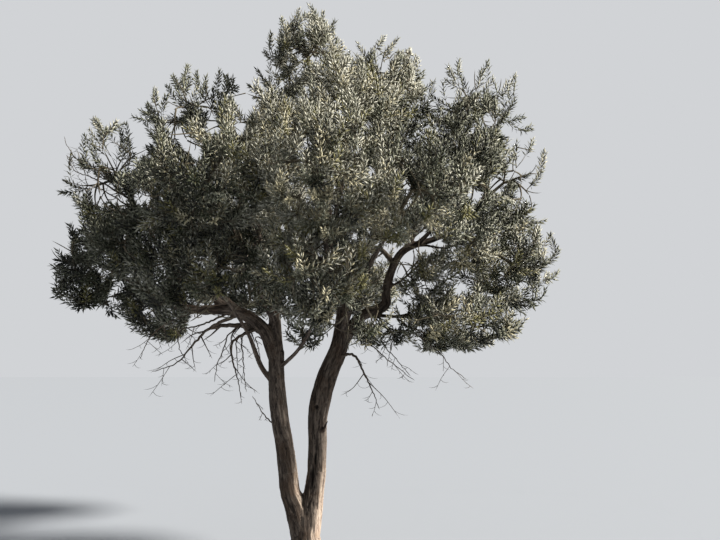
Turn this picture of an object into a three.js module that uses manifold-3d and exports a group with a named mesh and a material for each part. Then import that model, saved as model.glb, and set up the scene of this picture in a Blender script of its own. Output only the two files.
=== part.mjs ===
// A mature olive tree with a low fork: a short flared trunk, two upright stems, crooked boughs that rise and
// spread from them, and masses of leafy twigs at the boughs' ends, with bare drooping twigs under the crown.
// Millimetres, +Z up. The origin is the centre of the flat cut at ground level, and -Y is the tree's front.

import * as THREE from "three";
import { mergeVertices } from "three/addons/utils/BufferGeometryUtils.js";
import Module from "manifold-3d";

const wasm = await Module();
wasm.setup();

const vec = (x, y, z) => new THREE.Vector3(x, y, z);
const fullTurn = 2 * Math.PI;
const goldenAngle = Math.PI * (3 - Math.sqrt(5));

// Driving sizes
const seatGap = 0.3; // between two limbs, or a limb and its mass of twigs
const leafGap = 4; // from any leaf or twig to a limb that isn't its own
const massGap = 3; // from a mass to the plane that divides it from its neighbour

const boleHeight = 450; // up to here the trunk is one
const forkHeight = 750; // where both stems leave the trunk
const flareHeight = 330; // the trunk is at its slimmest here
const flareRadius = 185; // at the ground, between two root ridges
const waistRadius = 120;
const boleEndRadius = 96;
const rootRidges = 5;
const ridgeDepth = 0.16; // of the radius, at the ground

const tipDepth = 0.5; // how far towards its mass's centre a bough runs on, as a share of the mass's reach
const boughKink = 0.07; // sideways wander of a bough, as a share of its length
const stemRingSpacing = 150;
const boughRingSpacing = 190;

// A leaf stands for a leafy spray. Its widest place is at that share of its length, and it turns from its
// twig's heading by that share of a right angle.
const leaf = { length: 300, width: 190, thickness: 22, widest: 0.42, lean: 0.56, sunk: 2 };
const twig = { root: 9, tip: 7 };
const twigsPerMass = 14;
const leafSizes = [1, 1, 0.8, 0.8, 0.62, 0.62]; // tried in turn, each turned further, until one fits

// What every limb and twig wanders by: the same two numbers always give the same share from 0 to 1
function chance(a, b) {
  const wave = Math.sin(a * 12.9898 + b * 78.233) * 43758.5453;
  return wave - Math.floor(wave);
}

const bark = new THREE.MeshStandardMaterial({ color: 0x6f6252, roughness: 0.95, metalness: 0 });
const paleBark = new THREE.MeshStandardMaterial({ color: 0x80776a, roughness: 0.9, metalness: 0 });
const foliage = new THREE.MeshStandardMaterial({ color: 0x6c7556, roughness: 0.6, metalness: 0 });

// The masses of leafy twigs: each fills an ellipsoid, given by its centre and its reach along X, Y and Z
const masses = {
  far_left_low: { centre: vec(-1745, -60, 2410), reach: vec(420, 510, 460) },
  far_left_high: { centre: vec(-1680, 40, 3130), reach: vec(460, 510, 490) },
  left_top: { centre: vec(-1030, 60, 3660), reach: vec(510, 510, 490) },
  left_middle: { centre: vec(-1080, -680, 2600), reach: vec(460, 460, 500) },
  left_hanging: { centre: vec(-1210, 190, 2080), reach: vec(480, 480, 360) },
  crown_top: { centre: vec(-50, 60, 4290), reach: vec(420, 460, 510) },
  crown_left: { centre: vec(-420, -560, 3210), reach: vec(440, 460, 510) },
  crown_right: { centre: vec(330, -620, 3430), reach: vec(440, 460, 510) },
  right_top: { centre: vec(690, 110, 4000), reach: vec(460, 510, 530) },
  far_right_top: { centre: vec(1430, 40, 3720), reach: vec(430, 490, 460) },
  far_right_high: { centre: vec(1610, -40, 3080), reach: vec(430, 490, 400) },
  far_right_low: { centre: vec(1650, 30, 2440), reach: vec(460, 500, 430) },
  right_middle: { centre: vec(1130, -680, 2950), reach: vec(460, 450, 490) },
  right_hanging: { centre: vec(1200, -200, 1940), reach: vec(540, 520, 310) },
  front_left: { centre: vec(-520, -1240, 2700), reach: vec(490, 450, 490) },
  front_middle: { centre: vec(150, -1320, 2780), reach: vec(460, 440, 500) },
  front_right: { centre: vec(740, -1180, 2660), reach: vec(460, 440, 430) },
  front_low_left: { centre: vec(-520, -1040, 2130), reach: vec(490, 450, 380) },
  front_low_middle: { centre: vec(140, -1180, 2170), reach: vec(440, 430, 380) },
  front_low_right: { centre: vec(360, -500, 2060), reach: vec(370, 370, 380) },
  back_left: { centre: vec(-1230, 1000, 3080), reach: vec(550, 520, 540) },
  back_low_left: { centre: vec(-800, 1180, 2380), reach: vec(520, 490, 430) },
  back_top: { centre: vec(-330, 900, 3900), reach: vec(560, 520, 540) },
  back_middle: { centre: vec(-250, 1330, 3060), reach: vec(540, 500, 520) },
  back_right: { centre: vec(820, 1080, 3380), reach: vec(560, 520, 530) },
  back_low_right: { centre: vec(380, 1250, 2480), reach: vec(510, 480, 430) },
};

// The two stems, from the trunk's fork to where the boughs spread
const stems = {
  left_stem: {
    points: [vec(-125, -20, forkHeight), vec(-164, -40, 955), vec(-213, -70, 1210), vec(-238, -100, 1465),
      vec(-240, -120, 1690)],
    radii: [79, 70, 67, 66, 62],
  },
  right_stem: {
    points: [vec(60, 10, forkHeight), vec(74, 20, 950), vec(80, 40, 1200), vec(134, 60, 1470),
      vec(250, 80, 1740), vec(280, 85, 1990)],
    radii: [87, 78, 82, 83, 76, 60],
  },
};

// The boughs, each named for the mass it carries: the limb and share of its length that it leaves, its radius
// at the root and the tip, and the bends that it takes on the way
const boughs = {
  far_left_low: { from: "left_stem", share: 0.93, root: 60, tip: 18,
    bends: [vec(-356, -150, 1871), vec(-540, -200, 1994), vec(-974, -200, 2030)] },
  left_top: { from: "left_stem", share: 1, root: 56, tip: 16,
    bends: [vec(-300, -80, 2150), vec(-560, 20, 2900)] },
  far_left_high: { from: "far_left_low_bough", share: 0.36, root: 32, tip: 15 },
  left_hanging: { from: "far_left_low_bough", share: 0.6, root: 22, tip: 13 },
  left_middle: { from: "far_left_low_bough", share: 0.24, root: 28, tip: 14 },
  crown_left: { from: "left_top_bough", share: 0.42, root: 26, tip: 13 },
  front_left: { from: "left_top_bough", share: 0.12, root: 34, tip: 15, bends: [vec(-330, -520, 2180)] },
  front_low_left: { from: "left_stem", share: 0.7, root: 22, tip: 12,
    bends: [vec(-345, -160, 1560), vec(-420, -330, 1800)] },
  back_left: { from: "left_top_bough", share: 0.2, root: 34, tip: 15 },
  back_low_left: { from: "back_left_bough", share: 0.4, root: 22, tip: 13 },
  crown_top: { from: "right_stem", share: 1, root: 59, tip: 17,
    bends: [vec(225, 85, 2500), vec(70, 75, 3200)] },
  far_right_high: { from: "right_stem", share: 0.76, root: 56, tip: 17,
    bends: [vec(420, 80, 1975), vec(628, 50, 2074), vec(640, 20, 2213), vec(772, 0, 2514),
      vec(1118, 0, 2660)] },
  crown_right: { from: "crown_top_bough", share: 0.3, root: 28, tip: 13 },
  right_top: { from: "crown_top_bough", share: 0.22, root: 32, tip: 14 },
  back_top: { from: "crown_top_bough", share: 0.4, root: 28, tip: 13 },
  back_right: { from: "right_stem", share: 0.93, root: 36, tip: 15, bends: [vec(380, 400, 2400)] },
  back_middle: { from: "crown_top_bough", share: 0.1, root: 30, tip: 14 },
  back_low_right: { from: "back_right_bough", share: 0.3, root: 22, tip: 13 },
  far_right_top: { from: "far_right_high_bough", share: 0.58, root: 27, tip: 13 },
  far_right_low: { from: "far_right_high_bough", share: 0.8, root: 20, tip: 12 },
  right_middle: { from: "far_right_high_bough", share: 0.64, root: 22, tip: 12 },
  right_hanging: { from: "far_right_high_bough", share: 0.2, root: 20, tip: 12, bends: [vec(700, 0, 1975)] },
  front_right: { from: "right_stem", share: 0.88, root: 33, tip: 14, bends: [vec(420, -480, 2180)] },
  front_middle: { from: "crown_top_bough", share: 0.04, root: 30, tip: 14, bends: [vec(190, -480, 2330)] },
  front_low_middle: { from: "left_stem", share: 0.84, root: 18, tip: 11,
    bends: [vec(-60, -260, 1690), vec(60, -480, 1850)] },
  front_low_right: { from: "front_right_bough", share: 0.2, root: 18, tip: 11 },
};

// The bare twigs: a crooked stem that droops from a limb, and side twigs that hang off it
const bareTwigs = {
  bare_twigs_left: { from: "far_left_low_bough", share: 0.3, root: 17, seed: 3, sides: 7,
    bends: [vec(-745, -260, 1860), vec(-850, -290, 1740), vec(-960, -330, 1600), vec(-1140, -360, 1530)] },
  bare_twigs_near_stem: { from: "far_left_low_bough", share: 0.18, root: 15, seed: 8, sides: 5,
    bends: [vec(-560, -250, 1760), vec(-555, -280, 1640), vec(-505, -290, 1480), vec(-470, -300, 1330)] },
  bare_twigs_right: { from: "right_stem", share: 0.72, root: 15, seed: 5, sides: 6,
    bends: [vec(370, -60, 1660), vec(450, -110, 1520), vec(520, -130, 1380), vec(570, -150, 1240)] },
};

// A closed solid from a geometry, by its points alone
function solidOf(geometry) {
  geometry.deleteAttribute("normal");
  geometry.deleteAttribute("uv");
  const welded = mergeVertices(geometry, 1e-3);
  return new wasm.Manifold(
    new wasm.Mesh({
      numProp: 3,
      vertProperties: welded.attributes.position.array,
      triVerts: new Uint32Array(welded.index.array),
    }),
  );
}

// A closed cylinder bent along a route. radiusAt gives its radius at a share of the way and an angle round
// it, and extra makes it that much larger all over.
function taperedTube(route, radiusAt, sides, rings, extra = 0) {
  const geometry = new THREE.CylinderGeometry(1, 1, 1, sides, rings);
  const frames = route.computeFrenetFrames(rings, false);
  const places = geometry.attributes.position;
  for (let i = 0; i < places.count; i++) {
    const across = places.getX(i);
    const over = places.getZ(i);
    const ring = Math.round((0.5 - places.getY(i)) * rings);
    const radius = radiusAt(ring / rings, Math.atan2(over, across)) + extra;
    const lengthened = ring === 0 ? -extra : ring === rings ? extra : 0;
    const place = route
      .getPointAt(ring / rings)
      .addScaledVector(frames.normals[ring], across * radius)
      .addScaledVector(frames.binormals[ring], over * radius)
      .addScaledVector(frames.tangents[ring], lengthened);
    places.setXYZ(i, place.x, place.y, place.z);
  }
  return solidOf(geometry);
}

// A radius that runs evenly through the given values, from one end of a limb to the other
function through(...radii) {
  return (share) => {
    const place = Math.min(share * (radii.length - 1), radii.length - 1 - 1e-9);
    const before = Math.floor(place);
    return radii[before] + (radii[before + 1] - radii[before]) * (place - before);
  };
}

const limbs = {}; // name: { route, solid, cutter, keepOut }

const boxesMeet = (a, b) =>
  [0, 1, 2].every((axis) => a.min[axis] < b.max[axis] && b.min[axis] < a.max[axis]);

// The largest of a solid's separate bodies
function largestBody(solid) {
  const bodies = solid.decompose();
  return bodies.reduce((best, body) => (body.volume() > best.volume() ? body : best));
}

// Seats a limb against all that came before it, and keeps what later pieces have to stay clear of
function addLimb(name, route, shapes) {
  const grown = (extra) => wasm.Manifold.union(shapes.map((shape) => shape(extra)));
  let solid = grown(0);
  for (const other of Object.values(limbs))
    if (boxesMeet(solid.boundingBox(), other.cutter.boundingBox())) solid = solid.subtract(other.cutter);
  solid = largestBody(solid).asOriginal().simplify(0.05);
  limbs[name] = { route, solid, cutter: grown(seatGap), keepOut: grown(leafGap) };
}

function addTrunk() {
  const axis = new THREE.LineCurve3(vec(0, 0, 0), vec(0, 0, boleHeight));
  const boleRadius = (share, angle) => {
    if (share === 1) return boleEndRadius;
    const fade = Math.max(0, 1 - (share * boleHeight) / flareHeight);
    const plain = waistRadius + (flareRadius - waistRadius) * fade ** 2.2;
    return plain * (1 + ridgeDepth * fade ** 1.5 * Math.cos(rootRidges * angle + 0.6));
  };
  const leftFork = new THREE.CatmullRomCurve3([
    vec(-20, 0, 300), vec(-68, -5, 480), vec(-110, -15, 610), vec(-125, -20, forkHeight)]);
  const rightFork = new THREE.CatmullRomCurve3([
    vec(15, 0, 300), vec(38, 3, 480), vec(50, 5, 610), vec(60, 10, forkHeight)]);
  addLimb("trunk", axis, [
    (extra) => taperedTube(axis, boleRadius, 20, 6, extra),
    (extra) => taperedTube(leftFork, through(100, 97, 86, 79), 10, 4, extra),
    (extra) => taperedTube(rightFork, through(100, 98, 89, 87), 10, 4, extra),
  ]);
}

function addStem(name, points, radii) {
  const route = new THREE.CatmullRomCurve3(points);
  const rings = Math.round(route.getLength() / stemRingSpacing);
  addLimb(name, route, [(extra) => taperedTube(route, through(...radii), 10, rings, extra)]);
}

const seedOf = (name) => Object.keys(masses).indexOf(name) + 1;

// The point of a mass where its bough ends: on the way in from start, short of the centre
function boughEnd(mass, start) {
  const inward = start.clone().sub(mass.centre);
  const size = inward.clone().divide(mass.reach).length();
  return mass.centre.clone().addScaledVector(inward, Math.min(tipDepth / size, 0.35));
}

// A bough's route: out of its limb, through its bends, with a slight wander, and up into its mass
function boughRoute(name, start, setOff, end, bends = []) {
  if (bends.length) return new THREE.CatmullRomCurve3([start, ...bends, end], false, "centripetal");
  const span = start.distanceTo(end);
  const straight = end.clone().sub(start).normalize();
  const outward = setOff.clone().lerp(straight, 0.55).normalize();
  const inward = straight.clone().lerp(vec(0, 0, 1), 0.3).normalize();
  const sweep = new THREE.CubicBezierCurve3(
    start,
    start.clone().addScaledVector(outward, span * 0.34),
    end.clone().addScaledVector(inward, -span * 0.34),
    end,
  );
  const seed = seedOf(name);
  const points = [0, 0.3, 0.52, 0.76, 1].map((share, i) => {
    const wander = vec(chance(seed, i) - 0.5, chance(seed, i + 10) - 0.5, chance(seed, i + 20) - 0.5);
    const free = share > 0 && share < 1 ? boughKink * span : 0;
    return sweep.getPoint(share).addScaledVector(wander, free);
  });
  return new THREE.CatmullRomCurve3(points, false, "centripetal");
}

function addBough(name, { from, share, root, tip, bends }) {
  const parent = limbs[from].route;
  const start = parent.getPointAt(share);
  const end = boughEnd(masses[name], bends ? bends[bends.length - 1] : start);
  const route = boughRoute(name, start, parent.getTangentAt(share), end, bends);
  const sides = root > 40 ? 8 : root > 25 ? 6 : 5;
  const rings = Math.max(4, Math.round(route.getLength() / boughRingSpacing));
  const radiusAt = (way) => tip + (root - tip) * (1 - way) ** 1.15;
  addLimb(name + "_bough", route, [(extra) => taperedTube(route, radiusAt, sides, rings, extra)]);
}

function addBareTwigs(name, { from, share, root, seed, sides, bends }) {
  const start = limbs[from].route.getPointAt(share);
  const route = new THREE.CatmullRomCurve3([start, ...bends], false, "centripetal");
  const stemRadius = (way) => 5 + (root - 5) * (1 - way);
  const shapes = [(extra) => taperedTube(route, stemRadius, 4, 6, extra)];
  for (let k = 0; k < sides; k++) {
    const way = 0.34 + (0.62 * k) / sides;
    const foot = route.getPointAt(way);
    const turn = 2.4 * k + seed;
    const reach = 150 + 170 * chance(seed, k);
    const droop = -0.35 - 0.75 * chance(seed, k + 30);
    const end = foot.clone().add(vec(Math.cos(turn), 0.6 * Math.sin(turn), droop).multiplyScalar(reach));
    const line = new THREE.CatmullRomCurve3([
      foot,
      foot.clone().lerp(end, 0.5).add(vec(0, 0, reach * (0.12 - 0.3 * chance(seed, k + 60)))),
      end,
    ]);
    shapes.push((extra) => taperedTube(line, through(stemRadius(way) * 0.72, 3.5), 3, 2, extra));
  }
  addLimb(name, route, shapes);
}

const meanReach = (mass) => (mass.reach.x + mass.reach.y + mass.reach.z) / 3;

// True where a point with that much room round it lies in a mass's own space: inside its ellipsoid,
// and on its own side of the planes that divide it from its neighbours
function inOwnSpace(mass, point, room) {
  const offset = point.clone().sub(mass.centre);
  const shrunk = mass.reach.clone().subScalar(room);
  if (offset.clone().divide(shrunk).lengthSq() > 1) return false;
  const power = offset.lengthSq() - meanReach(mass) ** 2;
  return Object.values(masses).every((other) => {
    if (other === mass) return true;
    const between = other.centre.distanceTo(mass.centre);
    const otherPower = other.centre.distanceToSquared(point) - meanReach(other) ** 2;
    return (otherPower - power) / (2 * between) > room + massGap;
  });
}

const meet = (a, b) => boxesMeet(a.boundingBox(), b.boundingBox()) && a.intersect(b).volume() > 0;

const touchesLimb = (solid) => Object.values(limbs).some((limb) => meet(solid, limb.keepOut));

const cornersOf = (solid) => {
  const mesh = solid.getMesh();
  return Array.from({ length: mesh.numVert }, (_, i) => vec(...mesh.vertProperties.slice(3 * i, 3 * i + 3)));
};

const fits = (mass, solid) =>
  cornersOf(solid).every((corner) => inOwnSpace(mass, corner, 0)) && !touchesLimb(solid);

// Two directions square to a heading, turned about it by roll
function squareTo(along, roll) {
  const aside = (Math.abs(along.z) > 0.9 ? vec(1, 0, 0) : vec(0, 0, 1)).cross(along).normalize();
  aside.applyAxisAngle(along, roll);
  return { aside, facing: along.clone().cross(aside) };
}

// A twig of three sides that ends in a leaf, from its root past the leaf's base to the leaf's tip.
// Given a root and a tip alone it is a leaf of six faces.
function leafyTwig(points, roll) {
  const leafOnly = points.length === 2;
  const [base, tip] = points.slice(-2);
  const along = tip.clone().sub(base).normalize();
  const { aside, facing } = squareTo(along, roll);
  const rings = leafOnly
    ? [{ centre: base, wide: 0, thick: 0 }]
    : [twig.root, twig.tip].map((radius, i) => ({ centre: points[i], wide: radius, thick: radius }));
  const middle = base.clone().lerp(tip, leaf.widest);
  rings.push({ centre: middle, wide: leaf.width / Math.sqrt(3), thick: leaf.thickness / 1.5 });
  rings.push({ centre: tip, wide: 0, thick: 0 });
  const geometry = new THREE.CylinderGeometry(leafOnly ? 0 : 1, 0, 1, 3, rings.length - 1);
  const places = geometry.attributes.position;
  for (let i = 0; i < places.count; i++) {
    const [x, z] = [places.getX(i), places.getZ(i)];
    const ring = rings[Math.round((0.5 - places.getY(i)) * (rings.length - 1))];
    const angle = leafOnly ? fullTurn * geometry.attributes.uv.getX(i) : Math.atan2(x, z);
    const place = ring.centre.clone();
    if (leafOnly || x !== 0 || z !== 0) {
      place.addScaledVector(aside, Math.sin(angle) * ring.wide);
      place.addScaledVector(facing, Math.cos(angle) * ring.thick);
    }
    places.setXYZ(i, place.x, place.y, place.z);
  }
  return solidOf(geometry);
}

// The furthest point in one direction, up to a share of a mass's reach, that is still in its own space
function edgeOf(mass, way, most) {
  for (let share = most; share > 0.2; share -= 0.04) {
    const point = mass.centre.clone().add(way.clone().multiply(mass.reach).multiplyScalar(share));
    if (inOwnSpace(mass, point, 4)) return point;
  }
  return null;
}

// The directions in which a mass sends its twigs, even all round its axis by the golden angle:
// most lean outwards along the axis, and the last few lean back towards the bough
function twigDirections(axis, seed) {
  const { aside, facing } = squareTo(axis, fullTurn * chance(seed, 99));
  return Array.from({ length: twigsPerMass }, (_, k) => {
    const height = 0.8 - (1.5 * (k + 0.5)) / twigsPerMass;
    const level = Math.sqrt(1 - height * height);
    return axis
      .clone()
      .multiplyScalar(height)
      .addScaledVector(aside, level * Math.cos(goldenAngle * k))
      .addScaledVector(facing, level * Math.sin(goldenAngle * k));
  });
}

// A mass of leafy twigs. Its stem runs on from the bough's tip past the centre and ends in a leafy twig of its
// own. The other twigs leave the stem, and each other, all round it, and each carries leaves on its three
// sides. What would leave the mass's space, or touch a limb or an earlier leaf, is left out.
function growMass(name) {
  const mass = masses[name];
  const seed = seedOf(name);
  const bough = limbs[name + "_bough"];
  const start = bough.route.getPointAt(1);
  const axis = mass.centre.clone().sub(start).normalize();
  const heart = mass.centre.clone().addScaledVector(axis, 60);
  const elbow = start.clone().addScaledVector(bough.route.getTangentAt(1), start.distanceTo(heart) * 0.45);
  const route = new THREE.CatmullRomCurve3([start, elbow, heart]);
  const stem = taperedTube(route, through(boughs[name].tip, twig.root + 3), 4, 3);
  const pieces = [stem];
  const places = [0.12, 0.3, 0.5, 0.7, 0.9].map((share) => ({
    point: route.getPointAt(share),
    heading: route.getTangentAt(share),
    piece: stem,
  }));

  function tryPiece(points, roll, own) {
    const piece = leafyTwig(points, roll);
    if (!fits(mass, piece) || pieces.some((other) => other !== own && meet(other, piece))) return null;
    pieces.push(piece);
    return piece;
  }

  function growLeaves(foot, base, edge, roll, piece, k) {
    const { aside, facing } = squareTo(edge.clone().sub(base).normalize(), roll);
    const along = base.clone().sub(foot).normalize();
    for (const side of [0, 1, 2]) {
      const face = (fullTurn * (side + 0.5)) / 3;
      const normal = aside.clone().multiplyScalar(Math.sin(face)).addScaledVector(facing, Math.cos(face));
      const out = along.clone().lerp(normal, leaf.lean).normalize();
      const root = foot.clone().lerp(base, 0.95 - 0.2 * side).addScaledVector(out, -leaf.sunk);
      for (const [turn, size] of leafSizes.entries()) {
        const end = root.clone().addScaledVector(out, leaf.length * size);
        if (tryPiece([root, end], turn + fullTurn * chance(seed + side, k + 49), piece)) break;
      }
    }
  }

  function growTwig(way, k) {
    const edge = edgeOf(mass, way, 0.97 - 0.1 * chance(seed, k));
    if (!edge) return;
    const effort = (place) => {
      const line = edge.clone().sub(place.point);
      return line.length() * (1 + 0.7 * (1 - line.normalize().dot(place.heading)));
    };
    const place = places.reduce((best, other) => (effort(other) < effort(best) ? other : best));
    const span = place.point.distanceTo(edge);
    const base = place.point.clone().lerp(edge, Math.max(0.18, 1 - leaf.length / span));
    base.addScaledVector(place.heading, span * 0.08);
    for (const turn of [0, 1, 2, 3]) {
      const roll = fullTurn * chance(seed, k + 29) + turn;
      const piece = tryPiece([place.point, base, edge], roll, place.piece);
      if (!piece) continue;
      const heading = base.clone().sub(place.point).normalize();
      places.push({ point: place.point.clone().lerp(base, 0.7), heading, piece });
      growLeaves(place.point, base, edge, roll, piece, k);
      return;
    }
  }

  const leaderFoot = route.getPointAt(0.95);
  const leaderEnd = edgeOf(mass, axis, 0.97);
  const leaderBase = leaderFoot.clone().lerp(leaderEnd, 0.3);
  const leader = tryPiece([leaderFoot, leaderBase, leaderEnd], seed, stem);
  if (leader) growLeaves(leaderFoot, leaderBase, leaderEnd, seed, leader, 0);
  twigDirections(axis, seed).forEach((way, k) => growTwig(way, k + 1));
  const whole = wasm.Manifold.union(pieces).asOriginal();
  return largestBody(whole.subtract(bough.cutter)).asOriginal().simplify(0.05);
}

const tree = new THREE.Group();

function addMesh(name, solid, material) {
  const { vertProperties, triVerts } = solid.getMesh();
  const geometry = new THREE.BufferGeometry();
  geometry.setAttribute("position", new THREE.BufferAttribute(vertProperties, 3));
  geometry.setIndex(new THREE.BufferAttribute(triVerts, 1));
  geometry.computeVertexNormals();
  const mesh = new THREE.Mesh(geometry, material);
  mesh.name = name;
  tree.add(mesh);
}

addTrunk();
for (const [name, { points, radii }] of Object.entries(stems)) addStem(name, points, radii);
for (const [name, bough] of Object.entries(boughs)) addBough(name, bough);
for (const [name, group] of Object.entries(bareTwigs)) addBareTwigs(name, group);

for (const [name, limb] of Object.entries(limbs)) {
  addMesh(name, limb.solid, name in bareTwigs ? paleBark : bark);
}
for (const name of Object.keys(masses)) addMesh(name + "_foliage", growMass(name), foliage);

export default tree;
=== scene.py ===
# An olive tree with a low fork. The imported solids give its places; the bark, the twigs and the leaves are grown
# here on the same limbs, by the same rule. Metres, +Z up, and -Y is the tree's front.
from math import cos, pi, radians, sin, sqrt

import bpy
import numpy as np
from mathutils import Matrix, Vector


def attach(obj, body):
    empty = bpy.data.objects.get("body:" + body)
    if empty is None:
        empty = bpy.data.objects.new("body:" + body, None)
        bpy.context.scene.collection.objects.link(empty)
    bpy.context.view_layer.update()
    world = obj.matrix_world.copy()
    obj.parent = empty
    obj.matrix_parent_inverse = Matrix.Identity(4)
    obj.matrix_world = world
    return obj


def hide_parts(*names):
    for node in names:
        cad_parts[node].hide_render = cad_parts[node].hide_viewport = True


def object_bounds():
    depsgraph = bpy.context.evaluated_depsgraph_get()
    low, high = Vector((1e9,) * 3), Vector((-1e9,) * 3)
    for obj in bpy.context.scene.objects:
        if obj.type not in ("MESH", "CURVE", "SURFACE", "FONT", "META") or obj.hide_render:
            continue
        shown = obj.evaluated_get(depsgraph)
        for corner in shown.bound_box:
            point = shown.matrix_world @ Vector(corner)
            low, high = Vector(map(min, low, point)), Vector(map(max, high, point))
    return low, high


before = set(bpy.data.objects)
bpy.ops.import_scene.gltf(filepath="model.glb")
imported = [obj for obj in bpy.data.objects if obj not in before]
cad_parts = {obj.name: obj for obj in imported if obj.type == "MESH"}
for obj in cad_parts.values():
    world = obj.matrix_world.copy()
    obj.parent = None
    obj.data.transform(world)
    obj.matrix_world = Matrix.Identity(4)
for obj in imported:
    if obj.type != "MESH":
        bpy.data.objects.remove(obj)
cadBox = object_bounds()
bpy.ops.object.select_all(action="DESELECT")
print("frame loaded:", len(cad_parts), "nodes")

# The photograph's viewpoint: at eye height above the tree's foot, looking up a little at the crown
viewpoint = {"place": (0.42, -4.6, 1.6), "pitch": 9.4, "lens": 28, "sensor": 36, "frame": (720, 540)}
eye = np.array(viewpoint["place"])
pitch = radians(viewpoint["pitch"])
frameWide, frameHigh = viewpoint["frame"]
pointsPerWay = frameWide * viewpoint["lens"] / viewpoint["sensor"]  # points of the photograph, one metre off

bpy.ops.object.camera_add(location=viewpoint["place"], rotation=(radians(90 + viewpoint["pitch"]), 0, 0))
camera = bpy.context.object
camera.data.lens = viewpoint["lens"]
camera.data.sensor_width = viewpoint["sensor"]
bpy.context.scene.camera = camera

goldenAngle = pi * (3 - sqrt(5))
upwards = np.array([0.0, 0.0, 1.0])

# The masses of leafy twigs: each fills an ellipsoid, given by its centre and its reach along X, Y and Z
masses = {
    "far_left_low": ((-1.745, -0.06, 2.41), (0.42, 0.51, 0.46)),
    "far_left_high": ((-1.68, 0.04, 3.13), (0.46, 0.51, 0.49)),
    "left_top": ((-1.03, 0.06, 3.66), (0.51, 0.51, 0.49)),
    "left_middle": ((-1.08, -0.68, 2.6), (0.46, 0.46, 0.5)),
    "left_hanging": ((-1.21, 0.19, 2.08), (0.48, 0.48, 0.36)),
    "crown_top": ((-0.05, 0.06, 4.29), (0.42, 0.46, 0.51)),
    "crown_left": ((-0.42, -0.56, 3.21), (0.44, 0.46, 0.51)),
    "crown_right": ((0.33, -0.62, 3.43), (0.44, 0.46, 0.51)),
    "right_top": ((0.69, 0.11, 4.0), (0.46, 0.51, 0.53)),
    "far_right_top": ((1.43, 0.04, 3.72), (0.43, 0.49, 0.46)),
    "far_right_high": ((1.61, -0.04, 3.08), (0.43, 0.49, 0.4)),
    "far_right_low": ((1.65, 0.03, 2.44), (0.46, 0.5, 0.43)),
    "right_middle": ((1.13, -0.68, 2.95), (0.46, 0.45, 0.49)),
    "right_hanging": ((1.2, -0.2, 1.94), (0.54, 0.52, 0.31)),
    "front_left": ((-0.52, -1.24, 2.7), (0.49, 0.45, 0.49)),
    "front_middle": ((0.15, -1.32, 2.78), (0.46, 0.44, 0.5)),
    "front_right": ((0.74, -1.18, 2.66), (0.46, 0.44, 0.43)),
    "front_low_left": ((-0.52, -1.04, 2.13), (0.49, 0.45, 0.38)),
    "front_low_middle": ((0.14, -1.18, 2.17), (0.44, 0.43, 0.38)),
    "front_low_right": ((0.36, -0.5, 2.06), (0.37, 0.37, 0.38)),
    "back_left": ((-1.23, 1.0, 3.08), (0.55, 0.52, 0.54)),
    "back_low_left": ((-0.8, 1.18, 2.38), (0.52, 0.49, 0.43)),
    "back_top": ((-0.33, 0.9, 3.9), (0.56, 0.52, 0.54)),
    "back_middle": ((-0.25, 1.33, 3.06), (0.54, 0.5, 0.52)),
    "back_right": ((0.82, 1.08, 3.38), (0.56, 0.52, 0.53)),
    "back_low_right": ((0.38, 1.25, 2.48), (0.51, 0.48, 0.43)),
}

# The trunk up to its fork, and the two stems that go on from there: the line of each, and its radii
trunkParts = {
    "bole": (((0, 0, -0.03), (0, 0, 0.2), (0, 0, 0.45)), (0.117, 0.116, 0.098)),
    "left_fork": (((-0.02, 0, 0.3), (-0.07, -0.005, 0.48), (-0.124, -0.015, 0.61), (-0.143, -0.02, 0.75)),
                  (0.1, 0.095, 0.078, 0.075)),
    "right_fork": (((0.015, 0, 0.3), (0.04, 0.003, 0.48), (0.06, 0.005, 0.61), (0.08, 0.01, 0.75)),
                   (0.1, 0.096, 0.08, 0.075)),
}
stems = {
    "left_stem": (((-0.143, -0.02, 0.75), (-0.17, -0.04, 0.955), (-0.213, -0.07, 1.21), (-0.238, -0.1, 1.465),
                   (-0.24, -0.12, 1.69)), (0.075, 0.071, 0.07, 0.067, 0.062)),
    "right_stem": (((0.08, 0.01, 0.75), (0.083, 0.02, 0.95), (0.085, 0.04, 1.2), (0.145, 0.06, 1.47),
                    (0.25, 0.08, 1.74), (0.28, 0.085, 1.99)), (0.075, 0.073, 0.081, 0.083, 0.076, 0.06)),
}

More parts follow.
